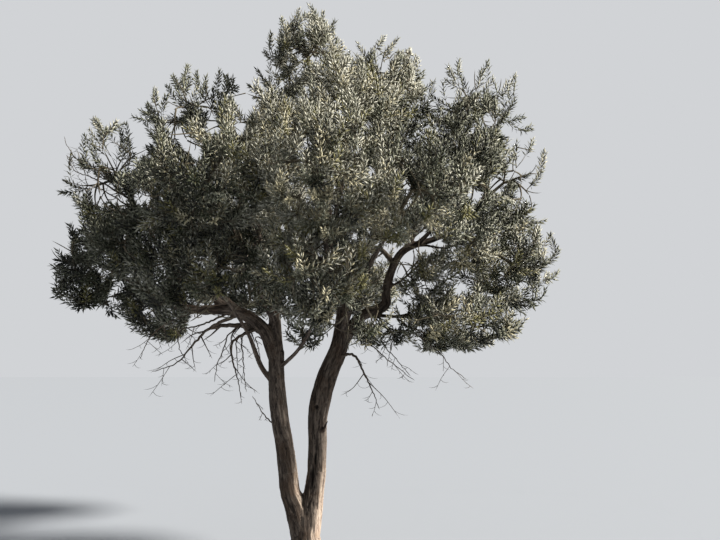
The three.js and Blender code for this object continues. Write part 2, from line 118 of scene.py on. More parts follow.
# The boughs, each named for the mass it carries: the limb and share of its length that it leaves, its radius
# at the root and the tip, and the bends that it takes on the way
boughs = {
    "far_left_low": ("left_stem", 0.93, 0.06, 0.018,
                     ((-0.356, -0.15, 1.871), (-0.54, -0.2, 1.994), (-0.974, -0.2, 2.03))),
    "left_top": ("left_stem", 1, 0.056, 0.016, ((-0.3, -0.08, 2.15), (-0.56, 0.02, 2.9))),
    "far_left_high": ("far_left_low_bough", 0.36, 0.032, 0.015, ()),
    "left_hanging": ("far_left_low_bough", 0.6, 0.022, 0.013, ()),
    "left_middle": ("far_left_low_bough", 0.24, 0.028, 0.014, ()),
    "crown_left": ("left_top_bough", 0.42, 0.026, 0.013, ()),
    "front_left": ("left_top_bough", 0.12, 0.034, 0.015, ((-0.33, -0.52, 2.18),)),
    "front_low_left": ("left_stem", 0.7, 0.022, 0.012, ((-0.345, -0.16, 1.56), (-0.42, -0.33, 1.8))),
    "back_left": ("left_top_bough", 0.2, 0.034, 0.015, ()),
    "back_low_left": ("back_left_bough", 0.4, 0.022, 0.013, ()),
    "crown_top": ("right_stem", 1, 0.059, 0.017, ((0.225, 0.085, 2.5), (0.07, 0.075, 3.2))),
    "far_right_high": ("right_stem", 0.76, 0.056, 0.017,
                       ((0.42, 0.08, 1.975), (0.628, 0.05, 2.074), (0.64, 0.02, 2.213), (0.772, 0, 2.514),
                        (1.118, 0, 2.66))),
    "crown_right": ("crown_top_bough", 0.3, 0.028, 0.013, ()),
    "right_top": ("crown_top_bough", 0.22, 0.032, 0.014, ()),
    "back_top": ("crown_top_bough", 0.4, 0.028, 0.013, ()),
    "back_right": ("right_stem", 0.93, 0.036, 0.015, ((0.38, 0.4, 2.4),)),
    "back_middle": ("crown_top_bough", 0.1, 0.03, 0.014, ()),
    "back_low_right": ("back_right_bough", 0.3, 0.022, 0.013, ()),
    "far_right_top": ("far_right_high_bough", 0.58, 0.027, 0.013, ()),
    "far_right_low": ("far_right_high_bough", 0.8, 0.02, 0.012, ()),
    "right_middle": ("far_right_high_bough", 0.64, 0.022, 0.012, ()),
    "right_hanging": ("far_right_high_bough", 0.2, 0.02, 0.012, ((0.7, 0, 1.975),)),
    "front_right": ("right_stem", 0.88, 0.033, 0.014, ((0.42, -0.48, 2.18),)),
    "front_middle": ("crown_top_bough", 0.04, 0.03, 0.014, ((0.19, -0.48, 2.33),)),
    "front_low_middle": ("left_stem", 0.84, 0.018, 0.011, ((-0.06, -0.26, 1.69), (0.06, -0.48, 1.85))),
    "front_low_right": ("front_right_bough", 0.2, 0.018, 0.011, ()),
}
growth = {
    "tipDepth": 0.5, "mostDepth": 0.35,  # how far short of its mass's centre a bough ends
    "setOff": (0.45, 0.55), "rise": (0.7, 0.3), "reachOut": 0.34,  # how it leaves its limb and comes up into the mass
    "knotShares": (0, 0.3, 0.52, 0.76, 1), "kink": 0.07, "taper": 1.15,
}

# Looser sprays that hang between the masses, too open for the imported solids: the same entries for each as for
# a mass and its bough
sprays = {
    "elbow_spray": (((0.9, -0.12, 2.38), (0.36, 0.34, 0.27)), ("far_right_high_bough", 0.36, 0.014, 0.009, ())),
    "gap_spray": (((1.28, -0.3, 2.5), (0.3, 0.32, 0.27)), ("far_right_high_bough", 0.62, 0.014, 0.009, ())),
    "hem_spray": (((1.02, -0.1, 2.07), (0.3, 0.28, 0.2)), ("right_hanging_bough", 0.4, 0.012, 0.008, ())),
    "fork_spray": (((-0.02, -0.22, 1.86), (0.19, 0.19, 0.17)), ("front_low_middle_bough", 0.3, 0.01, 0.007, ())),
    "stem_spray": (((0.45, -0.2, 1.84), (0.17, 0.17, 0.17)), ("right_stem", 0.86, 0.011, 0.008, ())),
    "back_left_spray": (((-0.62, 0.6, 2.85), (0.34, 0.34, 0.36)), ("back_left_bough", 0.35, 0.014, 0.009, ())),
    "back_right_spray": (((0.42, 0.64, 2.95), (0.36, 0.34, 0.38)), ("back_right_bough", 0.45, 0.014, 0.009, ())),
    "back_middle_spray": (((-0.12, 0.72, 2.5), (0.34, 0.34, 0.32)), ("back_middle_bough", 0.35, 0.014, 0.009, ())),
    "front_seam_spray": (((-0.38, -0.98, 2.43), (0.22, 0.2, 0.2)), ("front_left_bough", 0.5, 0.01, 0.007, ())),
    "core_spray": (((-0.5, -0.26, 2.6), (0.24, 0.24, 0.24)), ("left_top_bough", 0.45, 0.01, 0.007, ())),
    "low_spray": (((0.66, -0.1, 1.84), (0.26, 0.22, 0.14)), ("right_hanging_bough", 0.12, 0.011, 0.008, ())),
}
packedNames = list(masses)
masses |= {name: mass for name, (mass, bough) in sprays.items()}
boughs |= {name: bough for name, (mass, bough) in sprays.items()}
massNames = list(masses)
massCentres = np.array([masses[name][0] for name in massNames])
massReaches = np.array([masses[name][1] for name in massNames])


def chance(a, b, c=0):
    # what every limb and twig wanders by: the same numbers always give the same share from 0 to 1
    wave = np.sin(a * 12.9898 + b * 78.233 + c * 37.719) * 43758.5453
    return wave - np.floor(wave)


def unit(way):
    return way / np.maximum(np.linalg.norm(way, axis=-1, keepdims=True), 1e-12)


def asLine(points):
    # a line as its points and the way along it at each
    points = np.asarray(points, float)
    return points, np.concatenate([[0], np.cumsum(np.linalg.norm(np.diff(points, axis=0), axis=1))])


def smoothLine(knots, steps=40):
    # an even curve through the knots, which doesn't swing out where they stand close
    knots = [np.array(knot, float) for knot in knots]
    ends = [2 * knots[0] - knots[1]] + knots + [2 * knots[-1] - knots[-2]]
    points = []
    for before, start, stop, after in zip(ends, ends[1:], ends[2:], ends[3:]):
        gapA, gapB, gapC = (sqrt(np.linalg.norm(b - a)) for a, b in ((before, start), (start, stop), (stop, after)))
        pullA = ((start - before) / gapA - (stop - before) / (gapA + gapB) + (stop - start) / gapB) * gapB
        pullB = ((stop - start) / gapB - (after - start) / (gapB + gapC) + (after - stop) / gapC) * gapB
        t = np.linspace(0, 1, steps, endpoint=False)[:, None]
        points.append(start + pullA * t + (3 * (stop - start) - 2 * pullA - pullB) * t**2
                      + (2 * (start - stop) + pullA + pullB) * t**3)
    return asLine(np.vstack(points + [knots[-1][None]]))


def lengthOf(line):
    return line[1][-1]


def pointAt(line, share):
    points, along = line
    return np.array([np.interp(np.asarray(share) * along[-1], along, points[:, i]) for i in range(3)]).T


def headingAt(line, share):
    return unit(pointAt(line, min(share + 0.01, 1)) - pointAt(line, max(share - 0.01, 0)))


def through(radii):
    # a radius that runs evenly through the given values, from one end of a limb to the other
    return lambda share: np.interp(share, np.linspace(0, 1, len(radii)), radii)


def boughEnd(name, start):
    # where a bough ends in its mass: on the way in from start, short of the centre
    centre, reach = (np.array(part) for part in masses[name])
    inward = start - centre
    return centre + inward * min(growth["tipDepth"] / np.linalg.norm(inward / reach), growth["mostDepth"])


def boughLine(name, start, heading, end, bends):
    # out of its limb, through its bends, with a slight wander, and up into its mass
    if bends:
        return smoothLine([start, *bends, end])
    span = np.linalg.norm(end - start)
    straight = unit(end - start)
    along, across = growth["setOff"]
    first = start + unit(heading * along + straight * across) * span * growth["reachOut"]
    onward, up = growth["rise"]
    last = end - unit(straight * onward + upwards * up) * span * growth["reachOut"]
    seed = massNames.index(name) + 1
    knots = []
    for i, t in enumerate(growth["knotShares"]):
        sweep = (1 - t) ** 3 * start + 3 * (1 - t) ** 2 * t * first + 3 * (1 - t) * t**2 * last + t**3 * end
        wander = np.array([chance(seed, i), chance(seed, i + 10), chance(seed, i + 20)]) - 0.5
        knots.append(sweep + wander * (growth["kink"] * span if 0 < t < 1 else 0))
    return smoothLine(knots)


def tapering(root, tip):
    # a bough's radius, which falls off a little faster near its root
    return lambda way: tip + (root - tip) * (1 - way) ** growth["taper"]


# Every limb as its line and its radius at a share of the way along it
limbs = {name: (smoothLine(knots), through(radii)) for name, (knots, radii) in {**trunkParts, **stems}.items()}
for name, (parent, share, root, tip, bends) in boughs.items():
    line = limbs[parent][0]
    start = pointAt(line, share)
    end = boughEnd(name, np.array(bends[-1]) if bends else start)
    limbs[name + "_bough"] = (boughLine(name, start, headingAt(line, share), end, bends), tapering(root, tip))
print("limbs laid out:", len(limbs))


def framesAlong(points):
    # at each point the heading, and two ways square to it that turn as little as they can
    heads = unit(np.gradient(points, axis=0))
    asides = np.empty_like(heads)
    asides[0] = unit(np.cross(np.eye(3)[np.abs(heads[0]).argmin()], heads[0]))
    for i in range(1, len(points)):
        asides[i] = unit(asides[i - 1] - heads[i] * (asides[i - 1] @ heads[i]))
    return heads, asides, np.cross(heads, asides)


# The bark: a skin over the limbs, drawn as thickened curves, fused by a remesh and then given its relief
bark = {
    "limbStep": 0.03, "trunkVoxel": 0.0057, "boughVoxel": 0.0088, "softness": 0.5, "softenings": 4,
    "rootRadius": 0.185, "waistRadius": 0.12, "flareHeight": 0.33, "rootRidges": 5, "ridgeDepth": 0.16,
    "ridgeTurn": 0.6, "stubLength": 0.16, "stubTaper": 0.22,
    # the relief: full on a limb of this radius or more, and twisted round it
    "fullRadius": 0.09, "twist": 0.9, "sway": 0.5, "swayLength": 0.3, "seamWidth": 0.03,
    "fissureWidth": 0.021, "fissureLength": 0.2, "fissureDepth": 0.0062, "stringWidth": 0.024, "stringLength": 0.9,
    "lumpSize": 0.085, "lumpHeight": 0.011, "grainSize": 0.006, "grainHeight": 0.0016,
    # painted sunlight, paler bark where the light falls: the side it is on, where it starts and how softly, how high
    # it goes, and a patch by itself
    "sunnyWay": (1.0, 0.15, 0.1), "sunnyFrom": 0.27, "sunnySoft": 0.14, "sunnyTop": 1.3, "sunnyFade": 0.25,
    "paintedSunlitPatch": ((-0.066, -0.035, 0.7), (0.036, 0.07, 0.13)),
    # dents in the bark, each with its centre, its reach and its depth; the bark in them is also painted darker, as
    # shade
    "hollows": (((0.05, -0.06, 0.73), (0.016, 0.06, 0.12), 0.03), ((0.072, -0.06, 0.86), (0.012, 0.06, 0.07), 0.02),
                ((0.075, -0.04, 1.253), (0.022, 0.06, 0.024), 0.024), ((0.1, -0.07, 1.1), (0.02, 0.05, 0.03), 0.012),
                ((-0.02, -0.09, 0.555), (0.012, 0.05, 0.07), 0.014)),
    "snag": (((0.125, 0.02, 1.05), (0.14, -0.05, 1.09), (0.165, -0.085, 1.15)), (0.019, 0.013, 0.006)),
}


def drawnLimb(name, line, radiusAt, most=1.0):
    # a curve along the limb, thickened by its bevel
    count = max(5, round(lengthOf(line) * most / bark["limbStep"]))
    shares = np.linspace(0, most, count + 1)
    curve = bpy.data.curves.new(name, "CURVE")
    curve.dimensions = "3D"
    curve.bevel_depth = 1
    curve.bevel_resolution = 4
    curve.use_fill_caps = True
    spline = curve.splines.new("POLY")
    spline.points.add(count)
    spline.points.foreach_set("co", np.column_stack([pointAt(line, shares), np.ones(count + 1)]).ravel())
    spline.points.foreach_set("radius", radiusAt(shares))
    limb = bpy.data.objects.new(name, curve)
    bpy.context.collection.objects.link(limb)
    return limb


def pickOnly(parts):
    bpy.ops.object.select_all(action="DESELECT")
    for part in parts:
        part.select_set(True)
    bpy.context.view_layer.objects.active = parts[0]


def editAll(operation, **options):
    bpy.ops.object.mode_set(mode="EDIT")
    bpy.ops.mesh.select_all(action="SELECT")
    operation(**options)
    bpy.ops.object.mode_set(mode="OBJECT")


def applyModifier(piece, kind, **settings):
    modifier = piece.modifiers.new(kind, kind)
    for title, value in settings.items():
        setattr(modifier, title, value)
    bpy.ops.object.modifier_apply(modifier=kind)


def fusedSkin(name, parts, voxel):
    # the drawn limbs as one closed skin
    pickOnly(parts)
    bpy.ops.object.convert(target="MESH")
    bpy.ops.object.join()
    skin = bpy.context.object
    skin.name = name
    applyModifier(skin, "REMESH", mode="VOXEL", voxel_size=voxel)
    applyModifier(skin, "SMOOTH", factor=bark["softness"], iterations=bark["softenings"])
    return skin


def pointsOf(piece):
    points = np.empty(len(piece.data.vertices) * 3, np.float32)
    piece.data.vertices.foreach_get("co", points)
    return points.reshape(-1, 3).astype(float)


def movePoints(piece, points):
    piece.data.vertices.foreach_set("co", points.astype(np.float32).ravel())


def placesOnLimbs(points):
    # for each point of a skin: its place on the nearest limb as if that stood straight up, the limb's radius
    # there, and how much further off the next limb is
    spacing, margin, batch, shift = 0.025, 0.12, 4000, 7.3  # each limb's bark is shifted along from the last one's
    count = len(points)
    nearest, second = np.full(count, 1e9), np.full(count, 1e9)
    straight, radius = np.zeros((count, 3)), np.zeros(count)
    for number, (line, radiusAt) in enumerate(limbs.values()):
        shares = np.linspace(0, 1, max(8, round(lengthOf(line) / spacing)) + 1)
        spots = pointAt(line, shares)
        radii = radiusAt(shares)
        heads, asides, overs = framesAlong(spots)
        room = radii.max() + margin
        close = np.flatnonzero(((points > spots.min(0) - room) & (points < spots.max(0) + room)).all(1))
        for part in np.array_split(close, max(1, len(close) // batch)):
            offsets = points[part][:, None, :] - spots[None, :, :]
            gaps = np.sqrt((offsets**2).sum(2)) - radii
            spot = gaps.argmin(1)
            gap = gaps[np.arange(len(part)), spot]
            offset = offsets[np.arange(len(part)), spot]
            across = (offset * asides[spot]).sum(1)
            over = (offset * overs[spot]).sum(1)
            along = (offset * heads[spot]).sum(1) + shares[spot] * lengthOf(line)
            outward = np.hypot(across, over) + 1e-9
            here = np.column_stack([across / outward * radii[spot], over / outward * radii[spot],
                                    along + number * shift])
            better = gap < nearest[part]
            chosen = part[better]
            second[chosen] = nearest[chosen]
            nearest[chosen] = gap[better]
            straight[chosen] = here[better]
            radius[chosen] = radii[spot][better]
            others = part[~better]
            second[others] = np.minimum(second[others], gap[~better])
    return straight, radius, second - nearest


def smoothNoise(places):
    # chance values at the corners of unit cubes, joined smoothly; from 0 to 1
    base = np.floor(places)
    part = places - base
    part = part * part * (3 - 2 * part)
    total = np.zeros(len(places))
    for corner in np.ndindex(2, 2, 2):
        weight = np.prod(np.where(corner, part, 1 - part), axis=1)
        spot = base + corner
        total += weight * chance(spot[:, 0], spot[:, 1], spot[:, 2])
    return total


def turnedPlaces(straight):
    # the bark's grain winds slowly round the limb
    turn = bark["twist"] * straight[:, 2] + bark["sway"] * (smoothNoise(straight / bark["swayLength"]) - 0.5)
    return np.column_stack([straight[:, 0] * np.cos(turn) - straight[:, 1] * np.sin(turn),
                            straight[:, 0] * np.sin(turn) + straight[:, 1] * np.cos(turn), straight[:, 2]])


def stringyRidges(place, size):
    # 1 on the stringy ridges and 0 in the long fissures between them
    stretched = place / (bark["fissureWidth"] * np.sqrt(size)[:, None])
    stretched[:, 2] = place[:, 2] / bark["fissureLength"]
    wander = smoothNoise(place / 0.03) - 0.5
    stretched[:, 2] += 2.6 * smoothNoise(place / (bark["stringWidth"], bark["stringWidth"], bark["stringLength"]) + 5)
    coarse = smoothNoise(stretched + wander[:, None] * 0.5)
    fine = smoothNoise(stretched * (2.3, 2.3, 3.1) + 17)
    groove = np.abs(2 * (0.7 * coarse + 0.3 * fine) - 1)
    return np.clip(groove / 0.34, 0, 1) ** 0.7


def paintedSunlitShare(points, normals, place, radius):
    # painted sunlight: bark on the side of the trunk that faces the light is painted paler, in a ragged strip
    sunny = normals @ unit(np.array(bark["sunnyWay"])) + 0.3 * (smoothNoise(place / (0.03, 0.03, 0.12) + 9) - 0.5)
    low = np.clip((bark["sunnyTop"] - points[:, 2]) / bark["sunnyFade"], 0, 1)
    strip = np.clip((sunny - bark["sunnyFrom"]) / bark["sunnySoft"], 0, 1) * low * np.clip(radius / 0.05 - 1, 0, 1)
    # a painted highlight: a pale patch by itself, on the part of it that faces the light
    centre, reach = bark["paintedSunlitPatch"]
    patch = np.exp(-(((points - centre) / reach) ** 2).sum(1))
    return np.maximum(strip, np.clip((patch + sunny - 0.9) / 0.2, 0, 1))


def giveRelief(skin, marks):
    # lumps, then fissures between stringy ridges, all along the limb, shallower on thin ones and where two meet
    points = pointsOf(skin)
    normals = np.empty(len(points) * 3, np.float32)
    skin.data.vertex_normals.foreach_get("vector", normals)
    normals = normals.reshape(-1, 3).astype(float)
    straight, radius, clear = placesOnLimbs(points)
    place = turnedPlaces(straight)
    size = np.clip(radius / bark["fullRadius"], 0.12, 1)
    ridge = stringyRidges(place, size)
    lumps = smoothNoise(place / (bark["lumpSize"], bark["lumpSize"], bark["lumpSize"] * 2.4)) - 0.5
    height = bark["lumpHeight"] * size * lumps + bark["fissureDepth"] * size * (ridge - 0.75)
    height += bark["grainHeight"] * size * (smoothNoise(place / (bark["grainSize"], bark["grainSize"], 0.02)) - 0.5)
    height *= 0.35 + 0.65 * np.clip(clear / bark["seamWidth"], 0, 1)
    # painted shade: the bark in each dent is also darkened, as far as the dent reaches
    shade = np.zeros(len(points))
    for centre, reach, depth in marks:
        dip = np.exp(-2 * (((points - centre) / reach) ** 2).sum(1))
        height -= depth * dip
        shade = np.maximum(shade, dip)
    points += normals * height[:, None]
    movePoints(skin, points)
    # how much painted sunlight each point has; it and the painted shade of the dents are kept on the points for the
    # bark's material
    painted_sunlit = paintedSunlitShare(points, normals, place, radius)
    for title, values in (("limbPlace", place), ("ridge", ridge), ("painted_hollow_shade", shade), ("painted_sunlit", painted_sunlit)):
        whole = values.ndim == 2
        layer = skin.data.attributes.new(title, "FLOAT_VECTOR" if whole else "FLOAT", "POINT")
        layer.data.foreach_set("vector" if whole else "value", values.astype(np.float32).ravel())
    skin.data.update()


def flareRoots(bole):
    # the bole widens to its foot in a few blunt root ridges
    points = pointsOf(bole)
    fade = np.clip(1 - points[:, 2] / bark["flareHeight"], 0, 1)
    angle = np.arctan2(points[:, 1], points[:, 0])
    wide = 1 + (bark["rootRadius"] / bark["waistRadius"] - 1) * fade**2.2
    wide *= 1 + bark["ridgeDepth"] * fade**1.5 * np.cos(bark["rootRidges"] * angle + bark["ridgeTurn"])
    points[:, :2] *= wide[:, None]
    movePoints(bole, points)


def boughFoot(name, root):
    # the first part of a bough, which the trunk's skin takes in, so that the bark runs on from one to the other
    line, radiusAt = limbs[name + "_bough"]
    most = (bark["stubLength"] + root) / lengthOf(line)

    def footRadius(way):
        return radiusAt(way) * (1 - bark["stubTaper"] * (way / most) ** 3)

    return drawnLimb(name + "_foot", line, footRadius, most)


def makeTrunk():
    parts = [drawnLimb(name, *limbs[name]) for name in (*trunkParts, *stems)]
    pickOnly(parts[:1])
    bpy.ops.object.convert(target="MESH")
    editAll(bpy.ops.mesh.subdivide, number_cuts=1)
    flareRoots(bpy.context.object)
    parts.append(drawnLimb("snag", smoothLine(bark["snag"][0]), through(bark["snag"][1])))
    parts += [boughFoot(name, root) for name, (parent, share, root, tip, bends) in boughs.items() if parent in stems]
    trunk = fusedSkin("trunk_bark", parts, bark["trunkVoxel"])
    giveRelief(trunk, bark["hollows"])
    # cut flat at the foot
    editAll(bpy.ops.mesh.bisect, plane_co=(0, 0, 0), plane_no=(0, 0, 1), use_fill=True, clear_inner=True)
    bpy.ops.object.shade_smooth()
    return trunk


def makeBoughs():
    parts = [drawnLimb(name, *limbs[name + "_bough"]) for name in boughs]
    skin = fusedSkin("bough_bark", parts, bark["boughVoxel"])
    giveRelief(skin, ())
    bpy.ops.object.shade_smooth()
    return skin


trunkBark = makeTrunk()
print("trunk:", len(trunkBark.data.polygons), "faces")
boughBark = makeBoughs()
print("boughs:", len(boughBark.data.polygons), "faces")


# The foliage: in each mass a stem runs on from the bough's tip, twigs leave it all round by the golden angle, finer
# twigs leave those, and leafy shoots leave them all, each from the place its end is easiest to reach from. The twigs
# keep to their mass's own space, and the shoots go a little beyond it.
foliage = {
    "massGap": 0.003, "acrossGap": 0.09, "sprayAcross": 0.3, "swell": 1.18, "usualSize": 0.09, "edgeStep": 0.04,
    "stemTip": 0.011, "stemSides": 7, "stemPlaces": (0.2, 0.35, 0.5, 0.7, 0.9), "heartAhead": 0.06,
    # each kind of twig: its radii at the root and the tip, its sides and steps, how much it hangs before it rises,
    # and the first of its points that others, or its leaves, leave from
    "twig": {"radii": (0.0085, 0.0048), "sides": 5, "steps": 6, "lift": 0.05, "first": 2},
    "fineTwig": {"radii": (0.0046, 0.0026), "sides": 4, "steps": 4, "lift": 0.08, "first": 1},
    "shoot": {"radii": (0.0026, 0.0013), "sides": 3, "steps": 6, "lift": 0.16, "first": 3},
    "twigsPerMass": 14, "twigReach": 0.66, "finePerMass": 46, "shoots": 14500, "nearShoots": 1.3,
    "tuft": 0.68, "clump": 0.16, "innerShare": 0.45, "turnCost": 0.7,
    "leafyLength": 0.19, "pairGap": 0.0185, "leafLength": 0.067, "leafWidth": 0.0172, "nearLeaf": 0.86,
    "leafLean": (60, 34, 16), "leafRoll": 0.9, "leafSink": 0.001, "leafWidest": 0.47, "leafDroop": 0.06,
    "leafArch": 0.02,
}
# Where the crown is open in the photograph a mass has fewer shoots on its outer side: the share it keeps
leafiness = {
    "crown_top": 0.6, "left_top": 0.4, "far_left_high": 0.4, "far_left_low": 0.75, "right_top": 0.6,
    "far_right_top": 0.5, "far_right_high": 0.45, "far_right_low": 0.7, "right_hanging": 0.6,
    "back_top": 0.75, "back_right": 0.8, "back_left": 0.8, "elbow_spray": 0.9, "gap_spray": 0.9,
}
# What the crown looks like in the photograph, in its points. No leafy shoot shows beyond the outline, in the gaps,
# or in front of the limbs that show: these two have a centre and a reach across and down. The outer sprays are
# single ones that stand out beyond the outline, by the mass that each belongs to.
crown = {
    "outline": [
        (57, 192), (61, 178), (69, 172), (72, 162), (69, 152), (80, 149), (88, 150), (86, 138), (92, 132), (91, 126),
        (98, 123), (106, 126), (110, 132), (109, 144), (104, 151), (112, 152), (120, 158), (126, 152), (134, 147),
        (144, 145), (150, 150), (149, 142), (144, 132), (146, 124), (138, 118), (142, 108), (147, 109), (154, 106),
        (160, 103), (168, 104), (176, 102), (184, 97), (192, 98), (202, 94), (210, 93), (218, 89), (226, 85),
        (234, 92), (240, 101), (248, 104), (252, 112), (255, 104), (252, 94), (255, 84), (257, 70), (264, 60),
        (268, 44), (272, 33), (281, 17), (299, 9), (311, 3), (322, 12), (334, 20), (339, 35), (350, 41), (359, 43),
        (368, 49), (378, 56), (384, 66), (388, 54), (392, 44), (398, 42), (405, 50), (413, 57), (419, 68), (426, 78),
        (432, 88), (438, 98), (448, 103), (456, 100), (466, 97), (476, 92), (486, 86), (496, 88), (503, 100),
        (508, 112), (514, 119), (524, 117), (530, 123), (529, 134), (520, 141), (526, 146), (536, 142), (542, 152),
        (541, 164), (530, 166), (518, 166), (515, 174), (519, 182), (515, 194), (519, 198), (532, 201), (542, 218),
        (550, 231), (557, 248), (556, 270), (552, 300), (546, 345), (520, 350), (480, 352), (440, 356), (400, 352),
        (360, 350), (330, 352), (300, 352), (284, 340), (268, 324), (250, 313), (220, 306), (190, 308), (180, 344),
        (150, 350), (125, 344), (112, 326), (106, 306), (92, 306), (88, 320), (72, 316), (54, 308), (46, 290),
        (44, 270), (52, 250), (50, 228), (56, 208),
    ],
    "gapMargin": 3.5,
    "gaps": (
        (113, 165, 4, 5), (120, 199, 7, 2), (246, 108, 4, 5), (160, 112, 4, 3), (101, 193, 7, 11), (77, 184, 4, 6),
        (108, 154, 6, 6), (121, 150, 7, 6), (143, 198, 7, 4), (88, 176, 4, 4), (171, 104, 5, 5), (176, 134, 5, 5),
        (188, 144, 5, 6), (212, 126, 5, 5), (206, 102, 5, 5), (188, 92, 4, 6), (240, 128, 4, 4), (197, 152, 4, 5),
        (383, 64, 3, 7), (407, 182, 1, 4), (407, 203, 1, 1), (371, 170, 0.5, 3), (455, 143, 0, 0), (516, 172, 6, 6),
        (497, 185, 6, 6), (476, 195, 6, 4), (489, 120, 5, 5), (512, 130, 5, 5), (380, 256, 5, 4), (404, 273, 3, 3),
        (423, 283, 4, 1), (416, 236, 3, 3), (60, 240, 8, 5), (72, 218, 5, 4),
    ),
    "limbs": (
        (391, 285, 11, 26), (404, 252, 12, 10), (426, 242, 20, 8), (376, 309, 16, 9), (255, 316, 14, 14),
        (342, 326, 12, 26), (222, 311, 40, 13),
    ),
    "outerSprays": {
        "far_left_high": ((95, 117), (99, 125), (106, 127), (84, 134), (90, 129), (117, 120), (125, 122), (120, 129),
                          (128, 136), (122, 142), (72, 152), (65, 178), (61, 190)),
        "left_top": ((188, 64), (197, 70), (190, 78), (174, 74), (182, 76), (207, 75), (168, 84), (155, 87),
                     (204, 84), (220, 68), (226, 74), (232, 76), (213, 88), (236, 84), (147, 102), (142, 109),
                     (134, 115), (176, 86), (197, 82), (166, 94)),
        "crown_top": ((311, 3), (299, 8), (281, 16), (271, 32), (258, 68), (250, 84), (256, 96), (322, 11), (334, 20),
                      (264, 50)),
        "right_top": ((383, 35), (396, 37), (391, 44), (408, 48), (417, 55), (424, 70), (433, 80), (373, 48),
                      (404, 56), (360, 42)),
        "far_right_top": ((448, 64), (459, 58), (444, 78), (461, 74), (460, 90), (480, 70), (488, 60), (494, 76),
                          (508, 80), (514, 73), (500, 92), (514, 95), (472, 90), (524, 114), (530, 124)),
        "far_right_high": ((534, 138), (544, 150), (542, 167), (528, 172), (533, 203), (543, 219)),
        "far_right_low": ((557, 247), (556, 270), (550, 232)),
    },
}
lowest, highest = np.array(cadBox[0]) - 0.02, np.array(cadBox[1]) + 0.02


def seenAt(points):
    # where the camera sees a place, in points of the photograph
    away = points - eye
    depth = away[..., 1] * cos(pitch) + away[..., 2] * sin(pitch)
    over = away[..., 2] * cos(pitch) - away[..., 1] * sin(pitch)
    return frameWide / 2 + pointsPerWay * away[..., 0] / depth, frameHigh / 2 - pointsPerWay * over / depth


def besideSpot(place, away, seed):
    # two ends close to where a point of the photograph lies at a distance behind the tree's middle
    ends = []
    for turn in (0, 1):
        across = place[0] - frameWide / 2 + 3 * (chance(seed + turn, place[0]) - 0.5)
        up = frameHigh / 2 - place[1] - 4 * turn * chance(seed, place[1]) - 2
        ray = np.array([across / pointsPerWay, cos(pitch) - sin(pitch) * up / pointsPerWay,
                        sin(pitch) + cos(pitch) * up / pointsPerWay])
        far = away + 0.24 * (chance(seed + turn, place[1], place[0]) - 0.5) - eye[1]
        ends.append(eye + ray * far / ray[1])
    return ends


def inOutline(points):
    # inside the crown's outline as the camera sees it, and clear of its gaps and of the limbs that show
    across, down = seenAt(points)
    inside = np.zeros(across.shape, bool)
    corners = crown["outline"]
    for (x, y), (nextX, nextY) in zip(corners, corners[1:] + corners[:1]):
        if y != nextY:
            inside ^= ((y > down) != (nextY > down)) & (across < (nextX - x) * (down - y) / (nextY - y) + x)
    margin = crown["gapMargin"]
    for x, y, wide, high in crown["gaps"]:
        inside &= ((across - x) / (wide + margin)) ** 2 + ((down - y) / (high + margin)) ** 2 > 1
    for x, y, wide, high in crown["limbs"]:
        inside &= (((across - x) / wide) ** 2 + ((down - y) / high) ** 2 > 1) | (points[..., 1] > 0)
    return inside


def inOwnSpace(points, name, across=0.0, swell=1.0):
    # inside the mass's ellipsoid, and no further than that across the planes that divide it from its neighbours
    number = massNames.index(name)
    means = massReaches.mean(1)
    inside = (((points - massCentres[number]) / (massReaches[number] * swell)) ** 2).sum(-1) < 1
    inside &= ((points > lowest) & (points < highest)).all(-1)
    powers = ((points[..., None, :] - massCentres) ** 2).sum(-1) - means**2
    between = np.linalg.norm(massCentres - massCentres[number], axis=1)
    between[number] = 1
    gaps = (powers - powers[..., number, None]) / (2 * between)
    gaps[..., number] = 1
    return inside & (gaps > foliage["massGap"] - across).all(-1)


def edgesOf(name, ways, most, across=0.0, swell=1.0, beyond=None):
    # the furthest point each way, up to a share of the mass's reach, that is still in its own space
    centre, reach = (np.array(part) for part in masses[name])
    edges = np.full((len(ways), 3), np.nan)
    for step in np.arange(0, 0.75, foliage["edgeStep"]):
        points = centre + ways * reach * np.maximum(most - step, 0.15)[:, None]
        free = np.isnan(edges[:, 0]) & inOwnSpace(points, name, across, swell)
        if beyond is not None:
            far = beyond * (0.2 + 2.4 * smoothNoise(points / 0.1) ** 2)
            free &= inOutline(points + ways * (0.035 + far)[:, None])
        edges[free] = points[free]
    return edges


def spreadWays(axis, count, seed, top=1.0, bottom=-1.0):
    # directions even all round an axis by the golden angle, from the top down to the bottom
    k = np.arange(count)
    height = top + (bottom - top) * (k + 0.5) / count
    level = np.sqrt(1 - height**2)
    aside = unit(np.cross(np.eye(3)[np.abs(axis).argmin()], axis))
    over = np.cross(axis, aside)
    turn = goldenAngle * k + 2 * pi * chance(seed, 99)
    return height[:, None] * axis + (level * np.cos(turn))[:, None] * aside + (level * np.sin(turn))[:, None] * over


def twigLine(start, heading, end, steps, lift):
    # leaves its place a little along that limb's heading, and bends up towards its end
    span = np.linalg.norm(end - start)
    middle = start + unit(unit(end - start) + heading * 0.45) * span * 0.5 - upwards * lift * span
    t = np.linspace(0, 1, steps + 1)[:, None]
    return (1 - t) ** 2 * start + 2 * (1 - t) * t * middle + t**2 * end


def newHeap():
    # arrays that grow by parts and are joined once
    return {"points": [], "faces": [], "kinds": [], "count": 0}


def addTo(heap, points, faces, kinds):
    heap["points"].append(points)
    heap["faces"].append(faces + heap["count"])
    heap["kinds"].append(kinds)
    heap["count"] += len(points)


